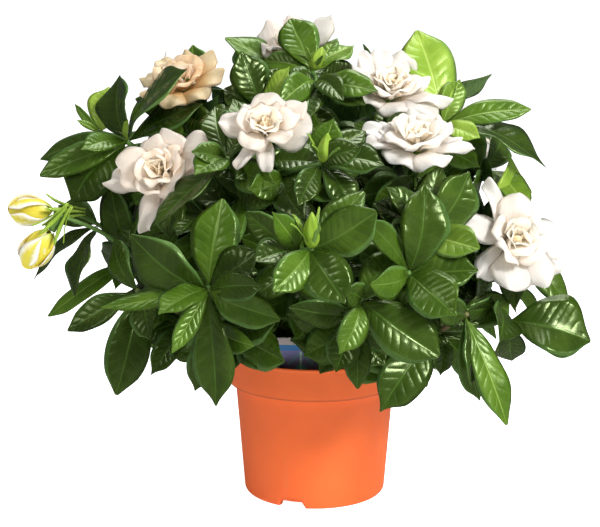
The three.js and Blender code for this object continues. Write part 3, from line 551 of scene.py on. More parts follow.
# each stem's foot and shoots. A shoot is its knots with their leaves, and what it ends in: nothing, or a
# flower's name (None for a closed green bud), the way it faces and its length. A leaf is its tip from
# the knot (right, back, up) in millimetres, its width, and its tone: 0 old and dark to 9 young and light
FRONT_STEMS = {
    "front_left": ((-40, -25), [
        ([((-42, -72, 130), [(-30, -14, -20, 14, 1), (-24, -4, -8, 14, 1)]),
          ((-66, -116, 152), [(26, -30, -6, 16, 6), (8, -26, -22, 14, 5), (-14, -10, -42, 18, 1)]),
          ((-69, -138, 181), [(9, 10, 57, 26, 4), (-48, -10, 37, 28, 1), (34, -12, 27, 22, 1),
              (35, -30, 8, 17, 0), (46, -22, -15, 20, 3), (-70, 4, -13, 9, 5), (-29, -34, -9, 19, 4),
              (-22, -24, -36, 11, 5), (4, -6, -76, 24, 2), (20, 36, 56, 16, 4)])], None)]),
    "low_left": ((-40, -8), [
        ([((-84, -60, 142), [(-30, -20, -34, 16, 1), (-12, -34, -18, 16, 1)]),
          ((-119, -90, 169), [(-49, -5, -26, 18, 1), (-14, -26, -65, 24, 1), (11, -38, -24, 18, 1),
              (30, -30, 4, 18, 2), (-20, 24, 34, 18, 2)])], None),
        ([((-126, -42, 182), [(-66, 4, -42, 14, 5), (-14, -16, -18, 12, 5), (-16, -10, 53, 22, 1)]),
          ((-151, -50, 208), [(-13, -32, -44, 26, 1), (-50, 10, -42, 16, 1), (-34, 30, 10, 20, 2),
              (30, 10, 34, 20, 1)]),
          ((-166, -60, 218), [])], ("opening_bud_upper", (-1, 0, 0.02), 30)),
        ([((-146, -70, 206), []),
          ((-169, -80, 218), [])], ("opening_bud_lower", (-0.6, 0.05, -0.8), 30))]),
    "upper_left": ((-34, 10), [
        ([((-106, -22, 232), [(-46, 20, -16, 24, 2), (-20, -30, -30, 20, 2)]),
          ((-131, -40, 265), [(-64, 10, -13, 18, 1), (-60, -14, -22, 18, 3), (-28, -32, -2, 14, 4),
              (-38, -14, -40, 34, 1), (-7, 20, 46, 32, 1), (45, -30, 52, 38, 1), (54, -14, 28, 24, 1),
              (2, -12, 17, 6, 8)]),
          ((-152, -22, 270), [(4, 14, 32, 22, 8), (-20, 10, 20, 5, 6), (-16, -8, 10, 4, 7)])], None),
        ([((-84, -8, 268), [(-36, -8, 20, 18, 3), (16, 30, 20, 20, 2), (-6, 34, 63, 30, 6)]),
          ((-90, -26, 283), [(-36, -10, 12, 16, 4), (-24, 30, 14, 18, 2),
              (18, -34, -6, 18, 2)])], ("bloom_upper_left", (-0.1, -0.4, 0.9), 31))]),
    "mid_left": ((-20, -14), [
        ([((-50, -64, 222), [(-20, -28, -20, 18, 1), (26, -26, -12, 18, 1)]),
          ((-58, -102, 259), [(-10, 34, 33, 20, 1), (-20, -30, -6, 18, 4), (-46, -32, -38, 20, 1),
              (-22, -22, 8, 13, 3), (22, 20, 30, 18, 1)])], None),
        ([((-92, -76, 240), [(-6, -20, -34, 18, 1),
              (-30, 14, 26, 18, 1)])], ("bloom_left", (-0.3, -0.85, 0.35), 37)),
        ([((-34, -90, 264), [])], ("bloom_centre", (0, -0.75, 0.55), 31))]),
    "top": ((-6, 6), [
        ([((-38, -40, 286), [(-14, -2, 42, 24, 0), (12, 6, 30, 20, 1), (20, -8, 32, 12, 8),
              (-26, 4, 16, 18, 1), (-22, -28, 2, 16, 1)]),
          ((0, -30, 306), [(-26, -38, -14, 17, 5), (42, -34, -4, 18, 5), (34, -30, -14, 16, 1),
              (18, -44, -10, 14, 1), (-20, -8, 4, 16, 1), (30, 10, 8, 16, 1), (-8, -48, -24, 18, 1)]),
          ((-2, -20, 312), [(-16, 20, 38, 24, 4), (30, 12, 19, 26, 7), (-36, 16, 8, 14, 6),
              (18, 24, 24, 16, 5)])], (None, (0.4, -0.2, 0.9), 20)),
        ([((-16, 16, 304), [(-50, -4, 32, 24, 5),
              (26, 24, 10, 18, 2)])], ("bloom_top", (-0.2, -0.25, 0.95), 33))]),
    "high_front": ((8, -12), [
        ([((6, -52, 190), []),
          ((-22, -98, 248), [(-22, -34, -4, 17, 3), (40, -40, -10, 22, 3), (14, -40, -22, 18, 1)]),
          ((2, -118, 258), [(8, -6, 30, 16, 6), (25, -18, 12, 16, 1), (40, -20, 2, 21, 0),
              (20, -22, -28, 18, 1), (-14, -30, -22, 14, 1),
              (30, 18, 20, 16, 1)])], (None, (0.1, -0.4, 0.9), 24))]),
    "front": ((-2, -30), [
        ([((-3, -40, 160), []),
          ((-4, -112, 190), [(-40, -40, -16, 18, 3), (24, -30, -30, 18, 1)]),
          ((-12, -148, 206), [(-26, -28, 0, 20, 0), (-33, 4, 26, 16, 1), (-16, -24, 30, 14, 5)]),
          ((-5, -163, 211), [(-22, -30, -20, 18, 5), (21, -28, -28, 24, 2), (40, -16, 26, 25, 3),
              (34, 14, 34, 18, 3)])], (None, (0, -0.25, 1), 26))]),
    "low_front": ((20, -30), [
        ([((24, -92, 142), [(-34, -24, -2, 14, 1), (-22, -20, -24, 14, 1), (22, -14, -20, 20, 1),
              (-44, -34, 20, 16, 1)]),
          ((24, -128, 162), [(-12, -10, -36, 19, 0), (2, -14, -46, 15, 1), (-42, -22, 10, 16, 1)]),
          ((27, -143, 175), [(-14, -22, -30, 16, 4), (50, -12, -34, 28, 2),
              (-10, -26, 12, 14, 2)])], None)]),
    "front_right": ((34, -20), [
        ([((52, -96, 172), [(-22, -30, -12, 18, 1), (30, -20, -26, 18, 1)]),
          ((58, -133, 190), [(10, 6, 57, 27, 2), (-28, -22, 38, 16, 3), (-26, -34, 0, 18, 4),
              (28, -30, -21, 26, 3), (44, -8, 4, 20, 3)])], None),
        ([((70, -104, 210), [(30, 4, 42, 28, 3), (32, -40, -2, 22, 7), (-26, -14, 34, 18, 2),
              (-34, -6, 22, 20, 1), (12, 14, 44, 18, 2)])], None)]),
    "low_right": ((42, 2), [
        ([((84, -82, 140), [(-42, -32, -48, 27, 2), (0, -14, -28, 16, 1), (26, 12, -34, 18, 1)]),
          ((99, -100, 155), [(27, -22, -70, 20, 6), (2, -22, -42, 20, 0), (12, 2, -60, 15, 3),
              (-22, -30, 10, 16, 2)])], None),
        ([((124, -70, 156), [(-24, -28, 2, 17, 1), (-2, -34, -18, 24, 0)]),
          ((131, -76, 146), [(57, -8, -13, 39, 2), (8, 20, -34, 18, 1)])], None)]),
    "right": ((32, 18), [
        ([((112, -34, 198), [(10, -24, -30, 18, 1), (-14, -30, 26, 18, 1)]),
          ((126, -50, 195), [(12, -20, -42, 15, 0), (42, 22, -6, 22, 1), (52, -12, -45, 20, 3),
              (14, -16, -48, 5, 2), (36, 34, 10, 18, 2),
              (10, 8, 60, 34, 8)])], ("bloom_right", (0.25, -0.9, 0.3), 40)),
        ([((120, -30, 244), [(22, -40, -20, 22, 7), (16, 30, 20, 18, 2)])], None)]),
    "upper_right": ((16, 8), [
        ([((78, -28, 258), [(34, -34, -8, 20, 2), (30, 28, 6, 20, 2)]),
          ((88, -36, 276), [(-16, 30, 66, 33, 8), (14, 14, 32, 16, 7), (62, -4, 12, 16, 6),
              (72, -14, -28, 32, 1), (24, -24, -6, 14, 8)])], None),
        ([((49, -28, 276), [(-24, -38, 0, 16, 2)])], ("bloom_upper_right", (0.1, -0.45, 0.85), 36)),
        ([((66, -76, 246), [(20, -24, -30, 18, 2),
              (-30, -22, -20, 18, 2)])], ("bloom_mid_right", (0, -0.45, 0.9), 36))]),
}


# the blooms and opening buds that shoots end in, for their own sections: name, base, axis and length
flowers = []


def unit(vectors):
    """Vectors scaled to length one."""
    vectors = np.asarray(vectors, float)
    return vectors / np.linalg.norm(vectors, axis=-1, keepdims=True)


def across_axis(axis):
    """Two directions square to an axis and to each other, right-handed with it."""
    first = np.cross([0.0, 0.0, 1.0], axis)
    first = unit(first) if np.linalg.norm(first) > 0.1 else np.array([1.0, 0.0, 0.0])
    first = unit(first - axis * (first @ axis))
    return first, np.cross(axis, first)


def around(first, second, angles):
    """Directions at some angles from a first direction towards a second one: cos first + sin second."""
    return np.cos(angles)[..., None] * first + np.sin(angles)[..., None] * second


def turned(x, z, angle):
    """Two coordinates or directions after a turn: x cos + z sin, and z cos - x sin."""
    return x * np.cos(angle) + z * np.sin(angle), z * np.cos(angle) - x * np.sin(angle)


def curve_through(points, places):
    """A centripetal Catmull-Rom curve through points, at places from 0 to 1 along it: each stretch is a
    cubic whose end slopes weigh the neighbours by the square root of their distances."""
    points = np.asarray(points, float)
    line = np.vstack([2 * points[0] - points[1], points, 2 * points[-1] - points[-2]])
    gap = np.maximum(np.linalg.norm(np.diff(line, axis=0), axis=1) ** 0.5, 1e-4)
    way = np.asarray(places, float) * (len(points) - 1)
    i = np.minimum(way.astype(int), len(points) - 2)
    w = (way - i)[:, None]
    a, b, c, d = (line[i + k] for k in range(4))
    ga, gb, gc = (gap[i + k][:, None] for k in range(3))
    first = ((b - a) / ga - (c - a) / (ga + gb) + (c - b) / gb) * gb
    last = ((c - b) / gb - (d - b) / (gb + gc) + (d - c) / gc) * gb
    return b + first * w + (3 * (c - b) - 2 * first - last) * w**2 + (2 * (b - c) + first + last) * w**3


def stem_tube(line, radii, places=10):
    """A ring of points, radius times the cos and sin of an angle, at each point of a line, square to it."""
    ahead = unit(np.gradient(line, axis=0))
    flat = line[-1] - line[0]
    aside = unit(np.cross(ahead, unit([-flat[1] + 0.01, flat[0], 0.02])))
    ring = around(aside[:, None], np.cross(ahead, aside)[:, None], even_turns(places))
    return (line[:, None] + ring * np.asarray(radii)[:, None, None])[None]


def blade_rings(rings, across):
    """Places along a blade from 0 to 1, and across it from -1 to 1 over its top and back underneath."""
    s = 0.012 + 0.98 * np.sin(np.linspace(0.0, np.pi / 2, rings)) ** 1.2
    top = np.linspace(-1, 1, across + 1)[:-1]
    return s[:, None], np.concatenate([top, -top])[None], np.repeat([1.0, -1.0], across)[None]


def leaf_blades(roots, reaches, widths, seed, facing, rings=26, across=8):
    """Leaves from their roots to their tips. Half width: half the width times sin(pi t^1.17) to a power
    from 0.58 to 0.78, less about half of it at the very tip, and a short stalk at the root. The midrib
    arches by sin(pi s^0.85), each half rises from it by a share of its width and turns down again at its
    edge, which waves a little. The blade bends aside by sin(pi s) and twists towards its tip."""
    vary = partial(np.random.default_rng(seed).uniform, size=(len(roots), 1, 1))
    s, w, face = blade_rings(rings, across)
    length = np.linalg.norm(reaches, axis=1)[:, None, None]
    ahead = unit(reaches)
    up = unit(roots + 0.5 * reaches - BUSH_CENTRE) + facing
    up = unit(up - ahead * (up * ahead).sum(1, keepdims=True))
    roll = np.radians(MOST_ROLL) * np.sin(reaches @ [2.1, 3.7, 5.3])[:, None]
    side, up = turned(np.cross(ahead, up), up, roll)
    t = np.clip((s - 0.06) / 0.94, 0, 1)[None]
    outline = np.sin(np.pi * t**1.17) ** vary(0.58, 0.78)
    near_tip = np.clip((t - 0.78) / 0.22, 0, 1)
    drawn_in = 0.54 + 0.22 * np.sin(reaches @ [1.3, 2.9, 4.1])[:, None, None]
    outline = outline * (1 - drawn_in * near_tip**2 * (3 - 2 * near_tip))
    half = widths[:, None, None] / 2 * outline + 0.75 * np.clip(1 - t * 8, 0.12, 1)
    wave = np.sin(2 * np.pi * (vary(1.2, 2.4) * s + 0.25 * np.sign(w) + vary(0, 1)))
    x = half * w * np.cos(vary(0.1, 0.3))
    z = half * (np.sin(vary(0.12, 0.34)) * np.abs(w) - vary(0.0, 0.2) * np.abs(w) ** 3)
    z = z + half * 0.11 * wave * w**2 + length * vary(0.05, 0.15) * np.sin(np.pi * s**0.85)
    z = z - length * vary(-0.02, 0.05) * s * s * (1 - s) * 3
    z = z + face * LEAF_THICKNESS / 2 * np.sqrt(np.clip(1 - w**4, 0, 1)) * (0.55 + 0.45 * (1 - s))
    x = x + length * vary(-0.05, 0.05) * np.sin(np.pi * s)
    x, z = (value[..., None] for value in turned(x, z, np.radians(vary(-15, 15) * s)))
    roots, ahead, side, up = (vectors[:, None, None] for vectors in (roots, ahead, side, up))
    grid = roots + (length * s)[..., None] * ahead + x * side + z * up
    return grid, noted(grid, s, w, 0)


def spindle(base, axis, length, thickest, ridges, twist, ridge, places=30):
    """A pointed bud on an axis: radius sin(pi s^0.75)^0.8 of its thickest, with ridges that wind round it
    as (1 + ridge cos(n angle + twist s))."""
    s = np.linspace(0.02, 0.985, 14)[:, None]
    angles = even_turns(places)
    radius = thickest * np.sin(np.pi * s**0.75) ** 0.8 * (1 + ridge * np.cos(ridges * angles + twist * s))
    ring = around(*across_axis(axis), angles)
    return (base + (length * s)[..., None] * axis + radius[..., None] * ring)[None]


def petals(base, axis, turns, reach, width, opens, cup, seed, height, radius, rings, across, ruffle,
           roundness, start=0.0, thick=0.7, curl=0.0, twist=0.0, shares=((1, 1),), whorl=0.0):
    """Petals round an axis. The midline leans from the axis by start + (open - start) s^0.8, with a curl
    more at the tip, and its places are the sums of its short steps. Half width: sin(pi s / 1.24) up to its
    widest, then a round end, (1 - ((s - 0.62) / 0.38)^n)^(1/2). Across, the petal bends on a circle of
    curvature cup, its edges roll back by w^4, its rim ruffles, and it twists towards its tip."""
    vary = partial(np.random.default_rng(seed).uniform, size=(len(turns), 1, 1))
    s, w, face = blade_rings(rings, across)
    long, wide = np.asarray(shares, float).T[..., None, None]
    length = reach * vary(0.93, 1.04) * long
    tip = np.clip((s - 0.66) / 0.34, 0, 1)
    opens = np.reshape(opens, (-1, 1, 1))
    lean = np.radians(start + (opens - start) * s**0.8 + curl * vary(0.3, 1.5) * tip**2)
    s_steps = np.diff(s[:, 0], prepend=0)[None, :, None]
    up_by = np.cumsum(np.cos(lean) * s_steps * length, 1)
    out_by = np.cumsum(np.sin(lean) * s_steps * length, 1)
    narrow = np.sin(np.pi / 2 * np.clip(s / 0.62, 0, 1)) ** 0.9
    round_end = np.clip(1 - (np.clip(s - 0.62, 0, 1) / 0.38) ** (roundness * vary(0.6, 1.1)), 0, 1) ** 0.5
    fill = np.clip(np.where(s < 0.62, narrow, round_end), 0.05, 1)
    half = width / 2 * vary(0.92, 1.06) * wide * fill
    bend = cup * vary(0.85, 1.15)
    arc = bend * w * half
    wall = face * thick / 2 * np.sqrt(np.clip(1 - w**4, 0, 1)) * (1.1 - 0.5 * s)
    x = np.sin(arc) / bend - wall * np.sin(arc)
    z = (1 - np.cos(arc)) / bend + wall * np.cos(arc)
    wave = np.sin(2 * np.pi * (vary(0.8, 1.6) * s + 0.3 * np.sign(w) + vary(0, 1)))
    z = z + reach * ruffle * wave * (w * fill) ** 2 * s
    z = z + reach * ruffle * 0.8 * s**4 * np.sin(2 * np.pi * (0.8 * w * fill + vary(0, 1)))
    z = z - half * w**4 * curl / 140 * s
    x, z = (value[..., None] for value in turned(x, z, np.radians(twist * vary(-1, 1) * s)))
    out = around(*across_axis(axis), turns)[:, None, None]
    lean = lean[..., None]
    ahead = np.cos(lean) * axis + np.sin(lean) * out
    facing = np.sin(lean) * axis - np.cos(lean) * out
    middle = base + axis * height + out * radius + up_by[..., None] * axis + out_by[..., None] * out
    grid = middle + x * np.cross(ahead, facing) + z * facing
    return grid, noted(grid, s, w, whorl)


# sepals are slender green petals
sepals = partial(petals, width=3.6, rings=10, across=4, roundness=1.2)


def leaf_look(grid, tone, wood=0.0, two_faced=False):
    """Tone, underside and wood for each point. The second half of a blade's ring is its underside."""
    places = grid.shape[2]
    return noted(grid, tone, two_faced * (np.arange(places) >= places // 2), wood)


# where a point lies on its leaf or petal: along it, across it from -1 to 1, and beside the midrib
reader, _, gives = group_of("blade_reader", {}, {"Float": "Along Across Beside Whorl"})
along, across, whorl = note_of(reader, "blade_place")
feed(gives, Along=along, Across=across, Whorl=whorl, Beside=size_of(across))

leaf_finish, tree, shader = finish_of("gardenia_leaf_and_stem")
along, _, beside, _ = wire(tree, "Group", {"node_tree": reader}).outputs.values()
tone, under, wood = note_of(tree, "leaf_look")
place = wire(tree, "TexCoord").outputs["Object"]
old, mottle_share, patches = mottled(place, 55.0, 3.0, 0.3, 0.7, *OLD_GREENS)
# side veins leave the midrib in pairs and bend forward to the edge
warp = times(minus(patches, 0.5), 0.09)
slant = plus(minus(plus(along, warp), times(beside, 0.17)), times(beside, beside, 0.03))
to_vein = times(size_of(minus(maths("FRACT", times(slant, VEIN_PAIRS)), 0.5)), 2.0)
vein = times(step(0.86, 1.0, to_vein), step(0.98, 0.6, beside))
midrib = step(0.07, 0.015, beside)
quilt = minus(1.0, maths("POWER", to_vein, 2.2))
quilt = times(quilt, times(step(0.0, 0.3, beside), step(1.05, 0.55, beside)))
crease = minus(quilt, times(midrib, 0.8))
colour = blend(step(0.1, 0.62, tone), old, blend(mottle_share, *MIDDLE_GREENS))
colour = blend(step(0.68, 1.0, tone), colour, blend(mottle_share, *YOUNG_GREENS))
pale = blend(step(0.2, 1.0, tone), *VEIN_GREENS)
# the paler rim along each edge is partly a pale cuticle and partly painted highlight where the edge rolls
# down
colour = layered(colour, (vein, minus(0.2, times(tone, 0.14)), pale), (midrib, 0.6, pale),
                 (step(0.9, 1.0, beside), 0.3, pale), (under, 0.6, UNDERSIDE))
bark, bark_share, bark_grain = mottled(drawn_out(place, 0.2), 700.0, 3.0, 0.3, 0.7, *BARK_BROWNS)
stalk = blend(step(0.45, 0.9, wood), blend(bark_share, *TWIG_GREENS), bark)
is_stem = maths("GREATER_THAN", wood, 0.1)
gloss = plus(plus(0.15, times(patches, 0.16)), times(tone, 0.12))
gloss = maths("MAXIMUM", gloss, times(maths("MAXIMUM", under, is_stem), 0.55))
# a fine grain, the blade's slow swell over it, and on top the quilting of leaves or the grain of bark
relief = plus(times(crease, minus(1.0, is_stem)), times(bark_grain, times(is_stem, 0.5)))
fine = grained(place, 900.0, 2.0, 0.00012, 0.5)
swell = bump(noise(place, 75.0, 2.0), 0.004, 0.22, Normal=fine)
feed(shader, Base_Color=blend(is_stem, colour, stalk), Roughness=gloss, Specular_IOR_Level=0.55,
     Specular_Tint=(0.8, 1.0, 0.5), Normal=bump(relief, 0.0008, 0.36, Normal=swell))


def shoot_line(foot, fork, knots):
    """Corners of a shoot: the first rises from the soil, others fork from it, and it ends just past its
    last knot. Gives the corners, the fork and the end with the way it points."""
    start = np.array([*foot, STEM_RISE]) if fork is None else fork
    points = np.vstack([start, knots])
    bend = curve_through(points, [0.5 / len(knots)])[0]
    ends = curve_through(points, [0.999, 1.0])
    past = ends[1] + unit(ends[1] - ends[0]) * 3.0
    below = [[*foot, STEM_FOOT]] if fork is None else np.empty((0, 3))
    return np.vstack([below, start, bend, knots, past]), bend, past


def inner_whorls(line, first, random):
    """Inner leaves in whorls of three at even spots of a shoot, each whorl a golden angle on from the
    last. For each whorl it gives three roots and three reaches."""
    travelled = np.cumsum(np.linalg.norm(np.diff(line, axis=0), axis=1))
    whorls = []
    for number, spot in enumerate(np.arange(first, travelled[-1] - 4, WHORL_SPACING)):
        index = min(int(np.searchsorted(travelled, spot)), len(line) - 2)
        if line[index][2] < LOWEST_LEAF:
            continue
        ahead = unit(line[index + 1] - line[index])
        swing, tilt, length = random.uniform(*INNER_BOUNDS, (3, 3)).T
        out = around(*across_axis(ahead), np.radians(GOLDEN * number + 120 * np.arange(3)) + swing)
        tilt = np.radians(tilt)[:, None]
        reaches = (np.cos(tilt) * ahead + np.sin(tilt) * out) * length[:, None]
        whorls.append((np.tile(line[index], (3, 1)), reaches))
    return whorls


def shoot_end(end, title, facing, reach):
    """What a shoot ends in: a closed green bud in its sepals, or the neck and sepals of a bloom or an
    opening bud, which are kept in the list of flowers. Gives parts: grid, places on the blade, look."""
    axis = unit(facing)
    if title is None:
        bud = spindle(end, axis, reach * 0.95, 5.0, 5, 7.0, ridge=0.09)
        grid, place = sepals(end, axis, even_turns(5), reach * 0.95, opens=44.0, cup=0.15, seed=8, start=18,
                             height=0.5, radius=1.6, ruffle=0.05)
        return [(bud, noted(bud, 0.5, 0.5, 0.5), leaf_look(bud, 0.92)),
                (grid, place, leaf_look(grid, 0.88, two_faced=True))]
    neck = end + axis * NECK
    flowers.append((title, neck + axis * 0.3, axis, reach))
    thick, long, back, opened = BLOOM_NECK if "bloom" in title else (2.9, reach * 0.95, 22.0, 34.0)
    collar = curve_through([end - axis, end + axis * 5, neck], np.linspace(0, 1, 7))
    tube = stem_tube(collar, np.linspace(1.5, thick, 7))
    grid, place = sepals(neck, axis, even_turns(6) + 0.3, long, opens=opened, cup=0.2, seed=7, height=-back,
                         radius=2.2, ruffle=0.02, thick=0.9)
    return [(tube, noted(tube, 0, 0, 0), leaf_look(tube, 0.6, wood=0.3)),
            (grid, place, leaf_look(grid, 0.97))]


def leafy_stem(name, foot, shoots, seed):
    """One leafy stem: its tubes and what its shoots end in, the leaves of its knots, and the inner leaves
    that stay inside the bush and out of the balls kept clear."""
    random = np.random.default_rng(seed)
    parts, whorls, fork = [], [], None
    for knots, flower in shoots:
        first_shoot = fork is None
        corners, bend, end = shoot_line(foot, fork, [at for at, _ in knots])
        fork = bend if first_shoot else fork
        line = curve_through(corners, np.linspace(0, 1, 8 * len(corners)))
        thick = STEM_RADIUS if first_shoot else TWIG_RADIUS
        uneven = 1 + 0.06 * np.sin(np.arange(len(line)) * 1.3)
        tube = stem_tube(line, np.linspace(thick, TAPER * thick, len(line)) * uneven)
        woody = np.clip(1.25 - (line[:, 2] - WOOD_BELOW) / WOOD_FADES, 0.2, 1)[:, None]
        parts.append((tube, noted(tube, 0, 0, 0), leaf_look(tube, 0.4, wood=woody)))
        whorls += inner_whorls(line, FIRST_WHORL[0] if first_shoot else FIRST_WHORL[1], random)
        parts += shoot_end(end, *flower) if flower else []
    facing = TO_THE_FRONT if name in FRONT_STEMS else UPWARDS
    leaves = np.array([(*at, *leaf) for knots, _ in shoots for at, rows in knots for leaf in rows], float)
    grid, place = leaf_blades(leaves[:, :3], leaves[:, 3:6], leaves[:, 6] * SEEN_ASLANT, seed, facing)
    parts.append((grid, place, leaf_look(grid, leaves[:, 7, None, None] / 9, two_faced=True)))
    roots, reaches = np.concatenate(whorls, 1)
    samples = roots[:, None] + reaches[:, None] * np.array([0.3, 0.6, 1.0])[:, None]
    off = np.linalg.norm(samples[:, :, None] - KEPT_CLEAR[:, :3], axis=-1) > KEPT_CLEAR[:, 3]
    inside = np.linalg.norm((samples[:, -1] - INNER_CENTRE) / INNER_HALVES, axis=-1) < 1.0
    clear = off.all((1, 2)) & inside
    if clear.any():
        roots, reaches, widths = roots[clear], reaches[clear], random.uniform(*INNER_WIDTHS, clear.sum())
        grid, place = leaf_blades(roots, reaches, widths, seed + 500, facing, rings=15, across=6)
        shade = random.choice(INNER_TONES, clear.sum())[:, None, None]
        parts.append((grid, place, leaf_look(grid, shade, two_faced=True)))
    grids, places, looks = zip(*parts)
    piece = piece_of("stem_with_leaves_" + name, grids, leaf_finish, blade_place=places, leaf_look=looks)
    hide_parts("leafy_stem_" + name)


def flower_balls(stems):
    """Rows of x, y, z and radius: two balls round every bloom and opening bud of some stems, the second
    further out on the side it faces and a little to the front."""
    rows = []
    for knots, flower in (shoot for _, shoots in stems.values() for shoot in shoots):
        if flower and flower[0]:
            axis, reach = unit(flower[1]), flower[2]
            centre = knots[-1][0] + axis * (15 + 0.45 * reach)
            rows.append((*centre, reach * 0.95))
            rows.append((*(centre + axis * 0.6 * reach + [0, -12, 0]), reach * 0.8))
    return rows


# Leafy stems of the back
# The same kind of stem, out of the photograph's sight: eight of them at even turns round the back,
# low, high and upright in turn, with leaves in whorls of three. Two carry a bloom.
BACK_STEMS = 8
BACK_START = 4
BACK_END = 176
BACK_FOOT_RING = 30
BACK_LEVELS = [(112, 168, 70, 138), (98, 262, 62, 214), (66, 278, 42, 230)]  # reach, height, first knot
BACK_ARCH = 8
BACK_LEAF_LENGTH = 66
BACK_LEAF_WIDTH = 27
BACK_LEAF_SAG = 6
BACK_TILT, BACK_TILT_STEP = 72, 22
# how much the draws turn and tilt a leaf in degrees, and change its length and its width as shares
BACK_VARIES = (12, 8, 0.18, 0.15)
BACK_TONES = np.array([1, 2, 1, 5, 3, 7])
BACK_BLOOMS = {1: "bloom_back_right", 4: "bloom_back_left"}
BACK_BLOOM_REACH = 36
BLOOM_OUT = 12
BLOOM_BELOW = 20
DRAWS = 500
FIRST_DRAW = 20


def seeded_draws(count, value):
    """Random numbers between -1 and 1: each value is 1664525 times the last plus 1013904223, modulo 2^32."""
    for _ in range(count):
        value = (value * 1664525 + 1013904223) % 2**32
        yield value / 2**31 - 1


draws = seeded_draws(DRAWS, FIRST_DRAW)


def whorls_of_leaves(way, whorls, start):
    """Whorls of three leaves, 120 degrees apart, the first open from the shoot's way by about 72 degrees
    and the next by less. Rows as in the table of the front: right, back, up, width and tone."""
    axis = unit(way)
    leaf = np.arange(3 * whorls)
    varied = np.reshape([next(draws) for _ in range(12 * whorls)], (-1, 4)) * BACK_VARIES
    angle = np.radians(start + 120 * leaf + 60 * (leaf // 3) + varied[:, 0])
    tilt = np.radians(BACK_TILT - BACK_TILT_STEP * (leaf // 3) + varied[:, 1])[:, None]
    length = BACK_LEAF_LENGTH * (1 + varied[:, 2:3])
    reach = (np.cos(tilt) * axis + np.sin(tilt) * around(*across_axis(axis), angle)) * length
    width = BACK_LEAF_WIDTH * (1 + varied[:, 3]) / SEEN_ASLANT
    return np.column_stack([reach - [0, 0, BACK_LEAF_SAG], width, BACK_TONES[leaf % 6]])


back_stems = {}
for index in range(BACK_STEMS):
    turn = math.radians(BACK_START + (BACK_END - BACK_START) * index / (BACK_STEMS - 1))
    out = np.array([math.cos(turn), math.sin(turn), 0])
    reach, high, knot_reach, knot_high = BACK_LEVELS[index % 3]
    first_knot, last_knot = out * knot_reach + [0, 0, knot_high], out * reach + [0, 0, high]
    half_way = out * (knot_reach + reach) / 2 + [0, 0, (knot_high + high) / 2 + BACK_ARCH]
    knots = [(at, whorls_of_leaves(out + [0, 0, 0.6], whorls, GOLDEN * (3 * index + order)))
             for order, (at, whorls) in enumerate([(first_knot, 1), (half_way, 1), (last_knot, 2)])]
    shoots = [(knots, None)]
    if index in BACK_BLOOMS:
        top = out * (reach + BLOOM_OUT) + [0, 0, high - BLOOM_BELOW]
        shoots.append(([(top, [])], (BACK_BLOOMS[index], out + [0, 0, 0.7], BACK_BLOOM_REACH)))
    back_stems[f"back_{index + 1}"] = (out[:2] * BACK_FOOT_RING, shoots)

all_stems = {**FRONT_STEMS, **back_stems}
KEPT_CLEAR = np.array(flower_balls(all_stems) + SHOWN_BALLS)
for number, (name, (foot, shoots)) in enumerate(all_stems.items()):
    leafy_stem(name, foot, shoots, 100 + number)


# Double blooms
# Cream-white gardenia flowers: broad waxy petals in five whorls round a furled heart. They open
# white and turn cream, then buff at the edges as they age, and their petals bend back and ruffle.
WHORL_TURN = 0.55
AGE_SHARES = (1.0, 0.8, 0.7, 0.6, 0.6, 0.6)
TOP_BLOOM_INNER = 0.75
# the blushing cream is warmer and darker: partly the petals' own pinkish tinge, partly painted warm shade
FRESH, BLUSH_AND_WARM_SHADE, CREAM = (1.0, 0.93, 0.84), (1.0, 0.80, 0.64), (1.0, 0.91, 0.81)
HEART, BUFF, THROAT = (0.97, 0.80, 0.44), (0.80, 0.53, 0.22), (0.80, 0.70, 0.30)
ORANGE_ROOT, WORN_EDGE = (0.74, 0.37, 0.10), (0.62, 0.34, 0.12)
# petals, reach and width as shares, how far open at the tip and at the root, curvature, height, radius, curl
BLOOM_WHORLS = [
    (7, 1.0, 0.86, 90, 36, -0.012, 3.0, 2.4, 34),
    (5, 0.84, 0.74, 62, 18, 0.018, 6.0, 2.2, 40),
    (4, 0.64, 0.66, 38, 6, 0.045, 8.0, 1.8, 30),
    (3, 0.54, 0.62, 24, -2, 0.085, 8.5, 1.8, 18),
    (3, 0.46, 0.56, 8, -8, 0.13, 8.5, 1.5, 8),
]
